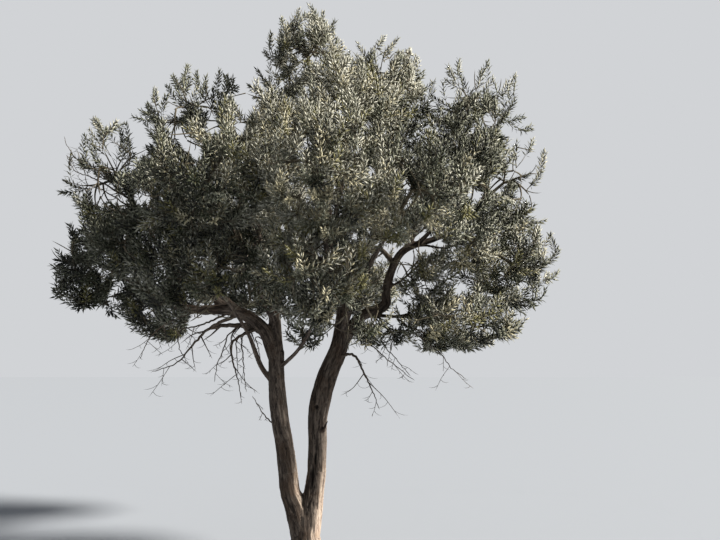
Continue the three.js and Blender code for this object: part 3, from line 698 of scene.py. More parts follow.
def addTube(heap, points, radii, sides):
    # a closed tube that ends in a point
    rings = len(points) - 1
    heads, asides, overs = framesAlong(points)
    turn = 2 * pi * np.arange(sides) / sides
    turn = turn[None, :, None]
    circle = np.cos(turn) * asides[:rings, None, :] + np.sin(turn) * overs[:rings, None, :]
    body = (points[:rings, None, :] + circle * radii[:rings, None, None]).reshape(-1, 3)
    ring = np.arange(rings - 1)[:, None] * sides
    side = np.arange(sides)[None, :]
    a, b = ring + side, ring + (side + 1) % sides
    c, d = a + sides, b + sides
    faces = np.concatenate([np.stack([a, b, d], -1).reshape(-1, 3), np.stack([a, d, c], -1).reshape(-1, 3)])
    last = (rings - 1) * sides + np.arange(sides)
    point = np.column_stack([last, np.roll(last, -1), np.full(sides, rings * sides)])
    foot = np.column_stack([np.zeros(sides - 2, int), np.arange(2, sides), np.arange(1, sides - 1)])
    faces = np.concatenate([faces, point, foot])
    addTo(heap, np.vstack([body, points[-1:]]), faces, np.zeros(len(faces), int))


def easiest(grown, end, least=0.0, pull=upwards * 0):
    # the grown place with the shortest way to the end that turns little and goes with the pull
    way = end - grown["spots"]
    span = np.maximum(np.linalg.norm(way, axis=1), 1e-9)
    effort = np.maximum(span, least) * (1 + foliage["turnCost"] * (1 - (way * grown["heads"]).sum(1) / span))
    return (effort + 2 * np.maximum(least - span, 0) + 0.1 * (1 - way @ pull / span)).argmin()


def lineTo(grown, end, kind, least=0.0, pull=upwards * 0):
    best = easiest(grown, end, least, pull)
    return twigLine(grown["spots"][best], grown["heads"][best], end, kind["steps"], kind["lift"])


def addTwig(heap, grown, end, kind):
    # a twig to the end, and places on it for others to leave from
    points = lineTo(grown, end, kind)
    addTube(heap, points, np.linspace(*kind["radii"], kind["steps"] + 1), kind["sides"])
    ways = unit(np.gradient(points, axis=0))
    grown["spots"] = np.vstack([grown["spots"], points[kind["first"]:]])
    grown["heads"] = np.vstack([grown["heads"], ways[kind["first"]:]])


def growStem(name, heap):
    # the mass's own stem, from its bough's tip to its heart
    centre = np.array(masses[name][0])
    line = limbs[name + "_bough"][0]
    start, heading = pointAt(line, 1), headingAt(line, 1)
    axis = unit(centre - start)
    heart = centre + axis * foliage["heartAhead"]
    elbow = start + heading * np.linalg.norm(heart - start) * 0.45
    stem = smoothLine([start - heading * 0.05, start, elbow, heart])
    shares = np.linspace(0, 1, 12)
    addTube(heap, pointAt(stem, shares), np.linspace(boughs[name][3], foliage["stemTip"], 12), foliage["stemSides"])
    grown = {"spots": np.vstack([pointAt(stem, share) for share in foliage["stemPlaces"]]),
             "heads": np.vstack([headingAt(stem, share) for share in foliage["stemPlaces"]])}
    return axis, heart, grown


def growTwigs(name, heap, grown, axis, heart, across):
    # the source's own twigs, ending short of the edge because finer ones go on from them
    centre, reach = (np.array(part) for part in masses[name])
    seed = massNames.index(name) + 1
    size = min(1, sqrt(reach.prod() / foliage["usualSize"]))
    ways = spreadWays(axis, round(foliage["twigsPerMass"] * size), seed, 0.8, -0.7)
    most = 0.97 - 0.1 * chance(seed, np.arange(len(ways)))
    for edge in edgesOf(name, ways, most, across):
        if not np.isnan(edge[0]):
            addTwig(heap, grown, centre + (edge - centre) * foliage["twigReach"], foliage["twig"])
    # then the finer ones, from the heart outwards
    ways = spreadWays(axis, round(foliage["finePerMass"] * size), seed + 0.5, 0.98, -0.9)
    most = 0.5 + 0.42 * chance(seed + 0.3, np.arange(len(ways)))
    edges = edgesOf(name, ways, most, across)
    for edge in edges[np.argsort(np.linalg.norm(edges - heart, axis=1))]:
        if not np.isnan(edge[0]):
            addTwig(heap, grown, edge, foliage["fineTwig"])
    return edges[~np.isnan(edges[:, 0])]


def shootEnds(name, axis, tufts, across, count):
    # the shoots end all through the outer part of the mass, most of them near its edge
    seed = massNames.index(name) + 1
    ways = spreadWays(axis, count, seed + 0.7)
    k = np.arange(count)
    most = 0.36 + 0.8 * chance(seed + 0.9, k) ** 0.8
    beyond = 0.24 * chance(seed + 0.21, k) ** 1.5
    ends = edgesOf(name, ways, most, max(across, foliage["acrossGap"]), foliage["swell"], beyond)
    # they stand in tufts, drawn together about the ends of the fine twigs
    hearts = tufts[np.linalg.norm(ends[:, None] - tufts[None], axis=2).argmin(1)]
    return hearts + (ends - hearts) * foliage["tuft"]


def growShoots(name, grown, axis, tufts, across, count):
    # the lines of a mass's leafy shoots: fewer inside the crown, between the clumps and where the crown is open
    centre = np.array(masses[name][0])
    seed = massNames.index(name) + 1
    outward = unit(np.array([centre[0], centre[1], (centre[2] - 2.6) * 1.2]))
    pull = unit(outward * 0.5 + upwards)
    shoots = []
    for number, end in enumerate(shootEnds(name, axis, tufts, across, count)):
        if np.isnan(end[0]):
            continue
        facing = unit(end - centre) @ outward
        inner = foliage["innerShare"] if facing < -0.25 else 1
        clump = 0.15 + 1.7 * smoothNoise(end[None] / foliage["clump"])[0]
        edge = 1 - (1 - leafiness.get(name, 1)) * np.clip(0.4 + facing, 0, 1)
        if chance(seed + 0.11, number) <= inner * clump * edge:
            shoots.append(lineTo(grown, end, foliage["shoot"], 0.15, pull * 2.2))
    # the leafy part of each keeps clear too
    free = inOutline(np.array(shoots)[:, foliage["shoot"]["first"]:]).all(1)
    shoots = [points for points, clear in zip(shoots, free) if clear]
    for place in crown["outerSprays"].get(name, ()):
        for end in besideSpot(place, centre[1], seed):
            shoots.append(lineTo(grown, end, foliage["shoot"], 0.2, upwards * 2))
    return shoots


def growCrown():
    volumes = massReaches.prod(1)
    shares = volumes / volumes.sum()
    twigHeaps, shoots = {}, {}
    for name, share in zip(massNames, shares):
        heap = twigHeaps.setdefault("back" if name.startswith("back") else "front", newHeap())
        count = round(foliage["shoots"] * share * (foliage["nearShoots"] if name.startswith("front") else 1))
        across = foliage["sprayAcross"] if name in sprays else 0
        axis, heart, grown = growStem(name, heap)
        tufts = growTwigs(name, heap, grown, axis, heart, across)
        shoots[name] = growShoots(name, grown, axis, tufts, across, count)
        radii = np.array([*np.linspace(*foliage["shoot"]["radii"], 3), 0])
        for points in shoots[name]:
            addTube(heap, points[[0, 2, 4, 6]], radii, foliage["shoot"]["sides"])
    return twigHeaps, shoots


# The leaves' colours: each with a paler and a duller one that it drifts to. The light and shade painted on the
# leaves: how much brighter or darker the leaves are painted than their height and side of the tree give, by mass, and
# by place in points of the photograph: painted shade in the hollows of the crown and painted light on the parts that
# catch the light, each with its centre, its reach across and down, and the change.
leafColours = {
    "leaf_grey_olive": ((128, 130, 112), (152, 153, 136), (98, 100, 85)),
    "leaf_olive": ((118, 115, 72), (142, 137, 96), (92, 90, 56)),
    "leaf_deep": ((61, 66, 47), (80, 84, 63), (45, 49, 35)),
    "leaf_pale": ((178, 171, 141), (198, 193, 168), (144, 138, 112)),
    "leaf_shaded": ((36, 39, 32), (49, 51, 41), (27, 29, 23)),
    # the silver underside; the leaves painted dark as shade have a grey olive one instead
    "leaf_silver": ((184, 183, 168), (206, 205, 192), (152, 151, 137)),  # the underside of all but the dark ones
}
leafKinds = list(leafColours)
paintedLeafLight = {
    # painted light and shade: how bright the leaves are painted at the usual height, more with height and to the
    # right; the crown's heart and reach, and how much darker the leaves inside it are painted and from how deep
    "usual": 0.45, "byHeight": 0.24, "height": 2.9, "toTheRight": 0.18,
    "heart": (0, 0, 2.8), "crownReach": (2.05, 1.7, 1.9), "inner": 0.9, "innerFrom": 0.3,
    # the share of sprays in each colour but the last: at least, more with painted light, and more with painted shade
    "shares": ((0.02, 0.39, 0), (0.07, 0.13, 0), (0, 0, 0.34), (0, 0.42, 0), (0, 0, 0.54)),
    # how much brighter or darker each mass's leaves are painted, as painted light and shade
    "byMass": {
        "far_right_top": -0.75, "far_right_high": -0.65, "right_middle": -0.55, "far_left_high": -0.75,
        "far_left_low": -0.7, "left_top": -0.65, "left_middle": -0.5, "left_hanging": -0.45, "crown_left": 0.25,
        "crown_right": 0.4, "front_middle": 0.3, "front_left": 0.2, "front_right": 0.2, "right_top": -0.3,
        "right_hanging": 0.1, "elbow_spray": 0.45, "gap_spray": 0.4, "hem_spray": 0.45, "back_right": -0.3,
        "back_left": -0.4, "far_right_low": -0.3, "front_low_middle": 0.25, "front_low_left": 0.1, "crown_top": -0.2,
    },
    # painted shade in the crown's hollows and painted light where it catches the light, by place
    "byPlace": (
        (447, 130, 34, 26, -0.9), (388, 112, 20, 26, -0.35), (268, 150, 28, 42, 0.35), (390, 190, 36, 42, 0.35),
        (330, 240, 60, 40, 0.25), (450, 300, 44, 26, 0.4), (130, 190, 60, 50, -0.5), (278, 196, 18, 30, 0.3),
        (243, 194, 13, 26, -0.8), (348, 212, 13, 17, -0.7), (407, 141, 15, 14, -0.6), (252, 238, 20, 16, -0.5),
        (304, 190, 14, 30, 0.35), (320, 276, 13, 13, -0.6), (350, 120, 12, 20, -0.4), (330, 90, 16, 20, 0.3),
        (270, 215, 26, 22, 0.45), (335, 215, 26, 22, 0.3), (392, 222, 22, 20, 0.4), (95, 262, 26, 20, 0.35),
        (150, 222, 22, 14, 0.3), (505, 135, 34, 44, -0.35), (445, 185, 22, 16, -0.35), (450, 95, 30, 20, -0.3),
        (430, 155, 42, 26, -0.6), (350, 95, 50, 30, -0.12), (265, 130, 20, 20, 0.3), (150, 150, 30, 20, -0.2),
    ),
}


def toneOf(draw, place, name):
    # which colour a spray's leaves have, by painted light and shade: pale ones higher and to the right, deep ones low
    # and to the left
    bright = paintedLeafLight["usual"] + paintedLeafLight["byHeight"] * (place[2] - paintedLeafLight["height"])
    bright += paintedLeafLight["toTheRight"] * place[0]
    bright += paintedLeafLight["byMass"].get(name, 0)
    across, down = seenAt(place)
    for x, y, wide, high, change in paintedLeafLight["byPlace"]:
        bright += change * np.exp(-((across - x) / wide) ** 2 - ((down - y) / high) ** 2)
    # painted shade: leaves deep inside the crown are darker
    depth = 1 - np.sqrt((((place - paintedLeafLight["heart"]) / paintedLeafLight["crownReach"]) ** 2).sum())
    bright = np.clip(bright - paintedLeafLight["inner"] * max(depth - paintedLeafLight["innerFrom"], 0), 0.02, 0.98)
    dull = 1 - bright
    marks = np.cumsum([least + light * bright + dark * dull for least, light, dark in paintedLeafLight["shares"]])
    return int(np.searchsorted(marks / marks[-1], draw))


def leafPlaces(shoots, name):
    # opposite pairs up each shoot, each pair turned a quarter from the last: for every leaf its foot, its shoot's
    # heading there, its own way, its length and its colour
    seed = massNames.index(name) + 1
    leafLength = foliage["leafLength"] * (foliage["nearLeaf"] if name.startswith("front") else 1)
    most, less, swing = foliage["leafLean"]
    found = {"bases": [], "heads": [], "ways": [], "lengths": [], "tones": []}
    for number, points in enumerate(shoots):
        line = asLine(points)
        length = lengthOf(line)
        leafy = min(length * 0.92, foliage["leafyLength"] * (0.8 + 0.4 * chance(seed, number)))
        pairs = max(3, round(leafy / foliage["pairGap"]))
        up = (np.arange(pairs) + 0.5) / pairs
        shares = 1 - leafy / length * (1 - up)
        heads = unit(pointAt(line, np.minimum(shares + 0.03, 1)) - pointAt(line, shares - 0.03))
        aside = unit(np.cross(heads, np.eye(3)[np.abs(heads[0]).argmin()]))
        over = np.cross(heads, aside)
        roll = 2 * pi * chance(seed + 0.2, number) + np.arange(pairs) * pi / 2
        for half in (0, pi):
            jitter = chance(seed + number, np.arange(pairs) + half)
            turn = roll + half + 0.5 * (jitter - 0.5)
            side = np.cos(turn)[:, None] * aside + np.sin(turn)[:, None] * over
            sway = chance(seed + number + 0.4, np.arange(pairs) + half) - 0.5
            lean = np.radians(most - less * up + swing * sway)  # the leaves at the tip lean out least
            found["bases"].append(pointAt(line, shares))
            found["heads"].append(heads)
            found["ways"].append(heads * np.cos(lean)[:, None] + side * np.sin(lean)[:, None])
            found["lengths"].append(leafLength * (1.08 - 0.42 * np.abs(up - 0.4) - 0.2 * jitter))
        found["tones"].append(np.full(pairs * 2, toneOf(chance(seed + 0.6, number), points[-1], name)))
    bases, heads, ways = (np.vstack(found[part]) for part in ("bases", "heads", "ways"))
    return bases, heads, unit(ways), np.concatenate(found["lengths"]), np.concatenate(found["tones"])


def leavesOn(shoots, name, heap):
    # each leaf: root, right edge, tip and left edge, with two faces above, arched along the leaf, and two below
    bases, heads, ways, lengths, tones = leafPlaces(shoots, name)
    seed = massNames.index(name) + 1
    k = np.arange(len(bases))
    tops = unit(heads - ways * (heads * ways).sum(1)[:, None])
    roll = foliage["leafRoll"] * (chance(seed + 0.77, k) - 0.5)
    sides = np.cross(ways, tops)
    tops, sides = (tops * np.cos(roll)[:, None] + sides * np.sin(roll)[:, None],
                   sides * np.cos(roll)[:, None] - tops * np.sin(roll)[:, None])
    size = lengths[:, None]
    wide = foliage["leafWidth"] / foliage["leafLength"] * (0.85 + 0.3 * chance(seed + 0.5, k))[:, None] * size / 2
    root = bases - ways * foliage["leafSink"]
    tip = bases + ways * size - tops * size * foliage["leafDroop"]
    middle = bases + ways * size * foliage["leafWidest"]
    arch = tops * size * foliage["leafArch"]
    points = np.stack([root, middle + sides * wide + arch, tip, middle - sides * wide + arch], 1)
    faces = np.array([[0, 1, 3], [1, 2, 3], [0, 3, 2], [0, 2, 1]])[None] + (k * 4)[:, None, None]
    # painted shade: leaves painted deep or shaded take a grey olive underside instead of the silver one
    dark = np.isin(tones, [leafKinds.index("leaf_deep"), leafKinds.index("leaf_shaded")])
    below = np.where(dark, leafKinds.index("leaf_grey_olive"), leafKinds.index("leaf_silver"))
    addTo(heap, points.reshape(-1, 3), faces.reshape(-1, 3), np.column_stack([tones, tones, below, below]).ravel())


def meshFrom(name, heap, materials):
    points, faces, kinds = np.vstack(heap["points"]), np.vstack(heap["faces"]), np.concatenate(heap["kinds"])
    mesh = bpy.data.meshes.new(name)
    mesh.vertices.add(len(points))
    mesh.vertices.foreach_set("co", points.astype(np.float32).ravel())
    mesh.loops.add(faces.size)
    mesh.loops.foreach_set("vertex_index", faces.astype(np.int32).ravel())
    mesh.polygons.add(len(faces))
    mesh.polygons.foreach_set("loop_start", np.arange(0, faces.size, 3, dtype=np.int32))
    mesh.polygons.foreach_set("material_index", kinds.astype(np.int32))
    mesh.update(calc_edges=True)
    for material in materials:
        mesh.materials.append(material)
    piece = bpy.data.objects.new(name, mesh)
    bpy.context.collection.objects.link(piece)
    return piece


twigHeaps, shoots = growCrown()
print("shoots:", sum(len(group) for group in shoots.values()))

# Which masses' leaves go into each piece
leafGroups = {
    "leaves_left": [name for name in massNames if name.startswith(("far_left", "left"))],
    "leaves_top": ["crown_top", "crown_left", "crown_right", "right_top", "back_top"],
    "leaves_right": [name for name in massNames if name.startswith(("far_right", "right_m", "right_h"))
                     or name in sprays and not name.startswith(("back", "front"))],
    "leaves_front": [name for name in massNames if name.startswith("front")],
    "leaves_back": [name for name in massNames if name.startswith("back") and name != "back_top"],
}

# Bare twigs under the crown: a crooked stem that droops from a limb, side twigs on its outer half, and the finest
# on those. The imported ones: the limb and share of its length that each leaves, its radius, its seed, how many side
# twigs it has, and its bends
bareTwigs = {
    "bare_twigs_left": ("far_left_low_bough", 0.3, 0.017, 3, 7,
                        ((-0.745, -0.26, 1.86), (-0.85, -0.29, 1.74), (-0.96, -0.33, 1.6), (-1.14, -0.36, 1.53))),
    "bare_twigs_near_stem": ("far_left_low_bough", 0.18, 0.015, 8, 5,
                             ((-0.56, -0.25, 1.76), (-0.555, -0.28, 1.64), (-0.505, -0.29, 1.48),
                              (-0.47, -0.3, 1.33))),
    "bare_twigs_right": ("right_stem", 0.72, 0.015, 5, 6,
                         ((0.37, -0.06, 1.66), (0.45, -0.11, 1.52), (0.52, -0.13, 1.38), (0.57, -0.15, 1.24))),
}
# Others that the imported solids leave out: the limb, share and radius, how many side twigs and how far they reach,
# and the bends
looseTwigs = (
    ("far_left_low_bough", 0.14, 0.024, 2, 0.1,
     ((-0.48, -0.15, 1.885), (-0.59, -0.18, 1.89), (-0.69, -0.21, 1.88), (-0.75, -0.26, 1.855))),
    ("far_left_low_bough", 0.34, 0.01, 5, 0.12,
     ((-0.8, -0.21, 1.9), (-0.88, -0.22, 1.875), (-0.968, -0.24, 1.85), (-0.97, -0.26, 1.72), (-0.9, -0.3, 1.63))),
    ("far_left_low_bough", 0.24, 0.008, 5, 0.09,
     ((-0.6, -0.18, 1.83), (-0.646, -0.2, 1.698), (-0.689, -0.22, 1.545), (-0.69, -0.23, 1.447))),
    ("far_left_low_bough", 0.22, 0.013, 3, 0.1, ((-0.57, -0.18, 1.846), (-0.583, -0.2, 1.69))),
    ("far_left_low_bough", 0.2, 0.007, 4, 0.07,
     ((-0.544, -0.18, 1.776), (-0.536, -0.2, 1.667), (-0.518, -0.22, 1.499))),
    ("far_left_low_bough", 0.17, 0.008, 4, 0.08,
     ((-0.5, -0.17, 1.815), (-0.489, -0.2, 1.651), (-0.452, -0.22, 1.371))),
    ("far_left_low_bough", 0.08, 0.006, 3, 0.06,
     ((-0.393, -0.2, 1.8), (-0.371, -0.22, 1.72), (-0.327, -0.22, 1.545))),
    ("left_stem", 0.38, 0.007, 3, 0.07, ((-0.282, -0.1, 1.152), (-0.341, -0.13, 1.222), (-0.417, -0.16, 1.353))),
    ("far_left_low_bough", 0.5, 0.009, 6, 0.11, ((-1.08, -0.24, 1.9), (-1.2, -0.27, 1.78), (-1.25, -0.3, 1.62))),
    ("far_right_high_bough", 0.5, 0.024, 3, 0.08,
     ((0.665, 0, 2.46), (0.615, -0.01, 2.515), (0.56, -0.02, 2.54), (0.487, -0.04, 2.5), (0.41, -0.06, 2.44))),
    ("right_stem", 0.88, 0.008, 5, 0.1, ((0.4, -0.06, 1.82), (0.632, -0.15, 1.629), (0.844, -0.2, 1.461))),
    ("right_hanging_bough", 0.15, 0.007, 4, 0.09,
     ((0.611, -0.1, 1.739), (0.718, -0.15, 1.613), (0.814, -0.2, 1.491))),
    ("right_hanging_bough", 0.45, 0.008, 6, 0.11,
     ((0.894, -0.15, 1.8), (1.057, -0.2, 1.659), (1.121, -0.22, 1.56), (1.236, -0.25, 1.477))),
    ("right_hanging_bough", 0.2, 0.011, 4, 0.1, ((0.684, -0.1, 1.858), (0.897, -0.13, 1.857), (1.068, -0.16, 1.863))),
    ("right_hanging_bough", 0.2, 0.006, 3, 0.07, ((0.69, -0.08, 1.86), (0.66, -0.1, 1.7), (0.63, -0.1, 1.56))),
    ("far_left_high_bough", 1, 0.01, 5, 0.12,
     ((-1.85, -0.03, 3.15), (-1.99, -0.05, 3.2), (-2.04, -0.075, 3.28), (-2.07, -0.09, 3.34))),
    ("far_left_high_bough", 0.95, 0.008, 4, 0.1,
     ((-1.8, -0.03, 3.2), (-1.95, -0.05, 3.27), (-2.05, -0.07, 3.39), (-2.1, -0.09, 3.5))),
    ("far_left_high_bough", 0.9, 0.008, 4, 0.1,
     ((-1.8, -0.03, 3.06), (-1.96, -0.05, 3.08), (-2.03, -0.075, 3.1), (-2.08, -0.09, 3.11))),
)
bare = {
    "step": 0.02, "wobble": 0.009, "taper": 1.2, "tip": 0.0022, "bluntFrom": 0.02, "bluntTip": 0.013,
    "sidesFrom": 0.34, "sidesOver": 0.62, "sideTurn": 2.4, "sideReach": 0.17, "sideFoot": 0.6, "sideTip": 0.0014,
    "finest": 3, "finestFrom": 0.35, "finestStep": 0.22, "finestTurn": 2.1, "finestReach": 0.45,
    "finestRadii": (0.0019, 0.001), "hang": -1, "lift": 0.7, "high": 3,  # those above this height stand up
    "firstSeed": 20, "bendSteps": 12,
}


def addBareTwig(heap, line, radius, seed, sides, reach, droop):
    # a thick stem is a broken one, and ends blunt
    tip = bare["tip"] if radius < bare["bluntFrom"] else bare["bluntTip"]

    def radiusAt(way):
        return tip + (radius - tip) * (1 - way) ** bare["taper"]

    count = max(10, round(lengthOf(line) / bare["step"]))
    shares = np.linspace(0, 1, count)
    wobble = np.column_stack([chance(seed, np.arange(count) + 10 * i) for i in range(3)]) - 0.5
    wobble *= bare["wobble"]
    wobble[0] = 0
    addTube(heap, pointAt(line, shares) + wobble, radiusAt(shares), 6)
    for k in range(sides):
        way = bare["sidesFrom"] + bare["sidesOver"] * (k + 0.5 * chance(seed, k + 80)) / sides
        foot = pointAt(line, way)
        turn = bare["sideTurn"] * k + seed
        far = reach * (0.7 + 0.9 * chance(seed, k))
        end = foot + np.array([cos(turn), 0.6 * sin(turn), droop * (0.35 + 0.75 * chance(seed, k + 30))]) * far
        middle = (foot + end) / 2 + upwards * far * (0.12 - 0.3 * chance(seed, k + 60))
        side = smoothLine([foot, middle, end])
        radii = np.linspace(radiusAt(way) * bare["sideFoot"], bare["sideTip"], 7)
        addTube(heap, pointAt(side, np.linspace(0, 1, 7)), radii, 4)
        for j in range(bare["finest"]):
            spot = pointAt(side, bare["finestFrom"] + bare["finestStep"] * j)
            swing = bare["finestTurn"] * j + k + seed
            aim = np.array([cos(swing), sin(swing), droop * (0.55 - 0.5 * chance(seed + k, j))])
            points = twigLine(spot, headingAt(side, 0.4), spot + aim * far * bare["finestReach"], 3, 0.1)
            addTube(heap, points, np.linspace(*bare["finestRadii"], 4), 3)


def makeBareTwigs():
    heap = newHeap()
    for parent, share, radius, seed, sides, bends in bareTwigs.values():
        line = smoothLine([pointAt(limbs[parent][0], share), *bends])
        addBareTwig(heap, line, radius, seed, sides, bare["sideReach"], bare["hang"])
    for number, (parent, share, radius, sides, reach, bends) in enumerate(looseTwigs):
        droop = bare["lift"] if bends[-1][2] > bare["high"] else bare["hang"]
        line = smoothLine([pointAt(limbs[parent][0], share), *bends], bare["bendSteps"])
        addBareTwig(heap, line, radius, number + bare["firstSeed"], sides, reach, droop)
    return heap


# Materials, all worked out in the nodes
def setInputs(tree, node, inputs):
    # each by its name or number: a value, or the output that it comes from
    for title, value in inputs.items():
        if isinstance(value, bpy.types.NodeSocket):
            tree.links.new(value, node.inputs[title])
        else:
            node.inputs[title].default_value = value


def addNode(tree, kind, inputs=None, **settings):
    node = tree.nodes.new("ShaderNode" + kind)
    for title, value in settings.items():
        setattr(node, title, value)
    setInputs(tree, node, inputs or {})
    return node


def mixColours(tree, amount, first, second):
    return addNode(tree, "Mix", {0: amount, 6: first, 7: second}, data_type="RGBA").outputs[2]


def noiseNode(tree, vector, scale, detail=3.0, roughness=0.55):
    inputs = {"Vector": vector, "Scale": scale, "Detail": detail, "Roughness": roughness}
    return addNode(tree, "TexNoise", inputs).outputs["Fac"]


def rangeNode(tree, value, low, high, start=0.0, stop=1.0):
    inputs = {"Value": value, "From Min": low, "From Max": high, "To Min": start, "To Max": stop}
    return addNode(tree, "MapRange", inputs, interpolation_type="SMOOTHSTEP").outputs["Result"]


def sRGB(red, green, blue):
    def linear(v):
        v /= 255
        return v / 12.92 if v <= 0.04045 else ((v + 0.055) / 1.055) ** 2.4
    return (linear(red), linear(green), linear(blue), 1.0)


def newGroup(name, inputs):
    # a group that turns its inputs into a colour, a roughness and a relief
    tree = bpy.data.node_groups.new(name, "ShaderNodeTree")
    outputs = {"Colour": "Color", "Roughness": "Float", "Height": "Float"}
    for way, sockets in (("INPUT", inputs), ("OUTPUT", outputs)):
        for title, kind in sockets.items():
            tree.interface.new_socket(title, in_out=way, socket_type="NodeSocket" + kind)
    return tree, tree.nodes.new("NodeGroupInput").outputs, tree.nodes.new("NodeGroupOutput")


# How fine each pattern is, in waves to the metre, and how much the bark's are stretched along its limb
barkGrain = {"stretch": 0.16, "strings": 190, "broad": 46, "patches": 7, "flecks": 260}
leafGrain = {"drift": 14, "spots": 120, "relief": 900}


def woodGrainGroup():
    # stringy bark: pale worn ridges, dark fissures, patches of warmer and greener bark
    tree, given, made = newGroup("wood_grain", {"Place": "Vector", "Ridge": "Float", "Pale": "Color",
                                                "Middle": "Color", "Dark": "Color", "Warm": "Color"})
    stretch = {0: given["Place"], 1: (1, 1, barkGrain["stretch"])}
    stretched = addNode(tree, "VectorMath", stretch, operation="MULTIPLY").outputs[0]
    strings = noiseNode(tree, stretched, barkGrain["strings"], 4, 0.62)
    broad = noiseNode(tree, stretched, barkGrain["broad"], 3, 0.6)
    patches = noiseNode(tree, given["Place"], barkGrain["patches"], 3, 0.6)
    flecks = noiseNode(tree, given["Place"], barkGrain["flecks"], 2, 0.5)
    colour = mixColours(tree, rangeNode(tree, broad, 0.34, 0.68), given["Middle"], given["Pale"])
    # the last layer darkens the bark in the relief's fissures: partly their own darker bark, partly painted shade
    layers = ((patches, 0.46, 0.66, 0.7, "Warm"), (strings, 0.5, 0.36, 0.62, "Dark"),
              (flecks, 0.62, 0.75, 0.3, "Pale"), (given["Ridge"], 0.72, 0.1, 0.82, "Dark"))
    for pattern, low, high, most, tone in layers:
        colour = mixColours(tree, rangeNode(tree, pattern, low, high, 0, most), colour, given[tone])
    height = addNode(tree, "Math", {0: strings, 1: 0.7, 2: broad}, operation="MULTIPLY_ADD").outputs[0]
    roughness = rangeNode(tree, strings, 0.3, 0.7, 0.95, 0.78)
    setInputs(tree, made, {"Colour": colour, "Roughness": roughness, "Height": height})
    return tree


def leafGroup():
    # the plain colour of a leaf, a little paler or duller from place to place, with a faint grain
    tree, given, made = newGroup("leaf_blade", {"Colour": "Color", "Paler": "Color", "Duller": "Color"})
    place = addNode(tree, "TexCoord").outputs["Object"]
    drift, spots, relief = (noiseNode(tree, place, leafGrain[part], 2) for part in ("drift", "spots", "relief"))
    colour = mixColours(tree, rangeNode(tree, drift, 0.4, 0.7, 0, 0.6), given["Colour"], given["Paler"])
    colour = mixColours(tree, rangeNode(tree, spots, 0.55, 0.35, 0, 0.5), colour, given["Duller"])
    roughness = rangeNode(tree, spots, 0.3, 0.7, 0.62, 0.42)
    setInputs(tree, made, {"Colour": colour, "Roughness": roughness, "Height": relief})
    return tree


def attributeNode(tree, name, output="Fac"):
    # what giveRelief left on the bark's points
    return addNode(tree, "Attribute", attribute_name=name).outputs[output]


def newMaterial(name):
    material = bpy.data.materials.new(name)
    material.use_nodes = True
    return material, material.node_tree


def finishShader(tree, colour, surface, shine, strength, distance):
    # the colour, and the surface group's roughness and relief
    bump = addNode(tree, "Bump", {"Strength": strength, "Distance": distance, "Height": surface.outputs["Height"]})
    setInputs(tree, tree.nodes["Principled BSDF"], {
        "Base Color": colour, "Roughness": surface.outputs["Roughness"], "Specular IOR Level": shine,
        "Normal": bump.outputs["Normal"]})


woodGrain = woodGrainGroup()
leafBlade = leafGroup()

# The colours of each kind of bark: its pale worn ridges, its middle, its dark fissures and its warmer patches
barkTones = {
    "limb": ((112, 101, 91), (67, 58, 51), (27, 22, 19), (74, 59, 47)),
    # painted sunlight: the paler tones of the bark on the side that faces the light
    "painted_sunlit": ((196, 180, 163), (168, 149, 134), (88, 75, 66), (160, 138, 118)),
    "twig": ((128, 120, 104), (88, 80, 66), (50, 43, 35), (92, 86, 64)),
    "bare": ((106, 96, 86), (71, 62, 54), (38, 32, 28), (77, 64, 53)),
    # painted shade: the colour that the bark in the dents is darkened to
    "painted_hollow_shade": (18, 14, 11),
}


def tonesOf(kind):
    return {title: sRGB(*tone) for title, tone in zip(("Pale", "Middle", "Dark", "Warm"), barkTones[kind])}


def limbBark():
    material, tree = newMaterial("olive_bark")
    given = {"Place": attributeNode(tree, "limbPlace", "Vector"), "Ridge": attributeNode(tree, "ridge")}
    grain, sunlitGrain = (addNode(tree, "Group", {**given, **tonesOf(kind)}, node_tree=woodGrain)
                     for kind in ("limb", "painted_sunlit"))
    # painted sunlight: paler bark on the side that faces the light
    painted_sunlit = attributeNode(tree, "painted_sunlit")
    colour = mixColours(tree, painted_sunlit, grain.outputs["Colour"], sunlitGrain.outputs["Colour"])
    # painted shade: the bark is darkened in the dents
    shade = rangeNode(tree, attributeNode(tree, "painted_hollow_shade"), 0.15, 0.6, 0, 0.92)
    colour = mixColours(tree, shade, colour, sRGB(*barkTones["painted_hollow_shade"]))
    finishShader(tree, colour, grain, 0.25, 0.7, 0.006)
    return material


def twigBark(name, kind):
    material, tree = newMaterial(name)
    place = addNode(tree, "TexCoord").outputs["Object"]
    grain = addNode(tree, "Group", {"Place": place, "Ridge": 0.8, **tonesOf(kind)}, node_tree=woodGrain)
    finishShader(tree, grain.outputs["Colour"], grain, 0.3, 0.4, 0.0012)
    return material


def leafMaterial(name, colour, paler, duller):
    material, tree = newMaterial(name)
    tones = {"Colour": sRGB(*colour), "Paler": sRGB(*paler), "Duller": sRGB(*duller)}
    blade = addNode(tree, "Group", tones, node_tree=leafBlade)
    finishShader(tree, blade.outputs["Colour"], blade, 0.45, 0.25, 0.0006)
    return material


leafMaterials = [leafMaterial(name, *tones) for name, tones in leafColours.items()]
barkMaterial = limbBark()
twigMaterial = twigBark("young_bark", "twig")
bareMaterial = twigBark("weathered_twig", "bare")
print("materials made")


def hand(piece, nodes):
    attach(piece, "root")
    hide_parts(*nodes)


for piece, nodes in ((trunkBark, ["trunk", "left_stem", "right_stem"]),
                     (boughBark, [name + "_bough" for name in packedNames])):
    piece.data.materials.clear()
    piece.data.materials.append(barkMaterial)
    hand(piece, nodes)

barePiece = meshFrom("bare_twigs", makeBareTwigs(), [bareMaterial])
barePiece.data.shade_smooth()
hand(barePiece, list(bareTwigs))

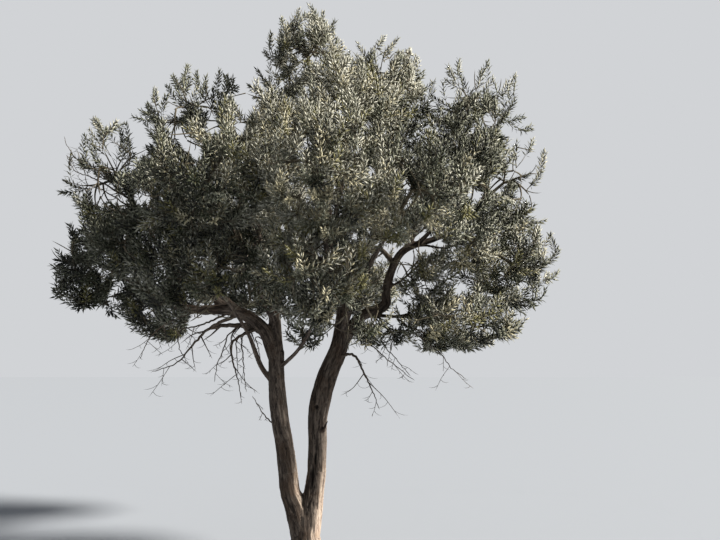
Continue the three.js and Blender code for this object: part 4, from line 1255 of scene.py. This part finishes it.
for side, heap in twigHeaps.items():
    piece = meshFrom("twigs_" + side, heap, [twigMaterial])
    piece.data.shade_smooth()
    hand(piece, [name + "_foliage" for name in packedNames if name.startswith("back") == (side == "back")])
    print(piece.name, len(piece.data.polygons), "triangles")

for title, members in leafGroups.items():
    heap = newHeap()
    for name in members:
        leavesOn(shoots[name], name, heap)
    piece = meshFrom(title, heap, leafMaterials)
    hand(piece, [name + "_foliage" for name in members if name in packedNames])
    print(title, len(piece.data.polygons), "triangles")

# A plain pale floor and surround, and broad light from the right, slightly in front of the tree. The kickers are
# narrow lights from the right that catch the edges of the trunk: each one's place, target, power and cone
studio = {
    "floor": 60, "floorColour": (176, 182, 191), "floorRoughness": 0.9, "backdrop": (209, 211, 214),
    "ambient": (228, 231, 236), "ambientStrength": 0.22,
    "key": {"turn": -10, "height": 34, "strength": 7.0, "softness": 9, "colour": (1.0, 0.95, 0.87)},
    "kickers": (((3.38, 0.9, 0.95), (0.02, 0, 0.66), 380, 24), ((2.35, 2.55, 1.0), (-0.15, -0.02, 0.74), 1250, 6.5)),
    "kickerBlend": 0.6, "kickerSize": 0.25,
}
bpy.ops.mesh.primitive_plane_add(size=studio["floor"] * 2)
floor = bpy.context.object
floor.name = "floor"
floorMaterial, tree = newMaterial("pale_floor")
setInputs(tree, tree.nodes["Principled BSDF"],
          {"Base Color": sRGB(*studio["floorColour"]), "Roughness": studio["floorRoughness"]})
floor.data.materials.append(floorMaterial)

world = bpy.data.worlds.new("studio")
world.use_nodes = True
surround = world.node_tree
ambient = surround.nodes["Background"]
setInputs(surround, ambient, {"Color": sRGB(*studio["ambient"]), "Strength": studio["ambientStrength"]})
backdrop = addNode(surround, "Background", {"Color": sRGB(*studio["backdrop"])})
forCamera = addNode(surround, "LightPath").outputs["Is Camera Ray"]
either = addNode(surround, "MixShader", {0: forCamera, 1: ambient.outputs[0], 2: backdrop.outputs[0]})
setInputs(surround, surround.nodes["World Output"], {"Surface": either.outputs[0]})
bpy.context.scene.world = world
bpy.context.scene.view_settings.view_transform = "Standard"


def addLight(name, kind, place, strength, towards):
    # a light in the key's colour that shines from a way
    bpy.ops.object.light_add(type=kind, location=place)
    light = bpy.context.object
    light.name = name
    light.data.energy = strength
    light.data.color = studio["key"]["colour"]
    light.rotation_euler = towards.to_track_quat("Z", "Y").to_euler()
    return light.data


key = studio["key"]
turn, height = radians(key["turn"]), radians(key["height"])
towards = Vector((cos(turn) * cos(height), sin(turn) * cos(height), sin(height)))
addLight("key", "SUN", (6, 2, 8), key["strength"], towards).angle = radians(key["softness"])
for number, (place, target, power, cone) in enumerate(studio["kickers"]):
    kicker = addLight("kicker_" + str(number + 1), "SPOT", place, power, Vector(place) - Vector(target))
    kicker.spot_size = radians(cone)
    kicker.spot_blend = studio["kickerBlend"]
    kicker.shadow_soft_size = studio["kickerSize"]
print("studio set")
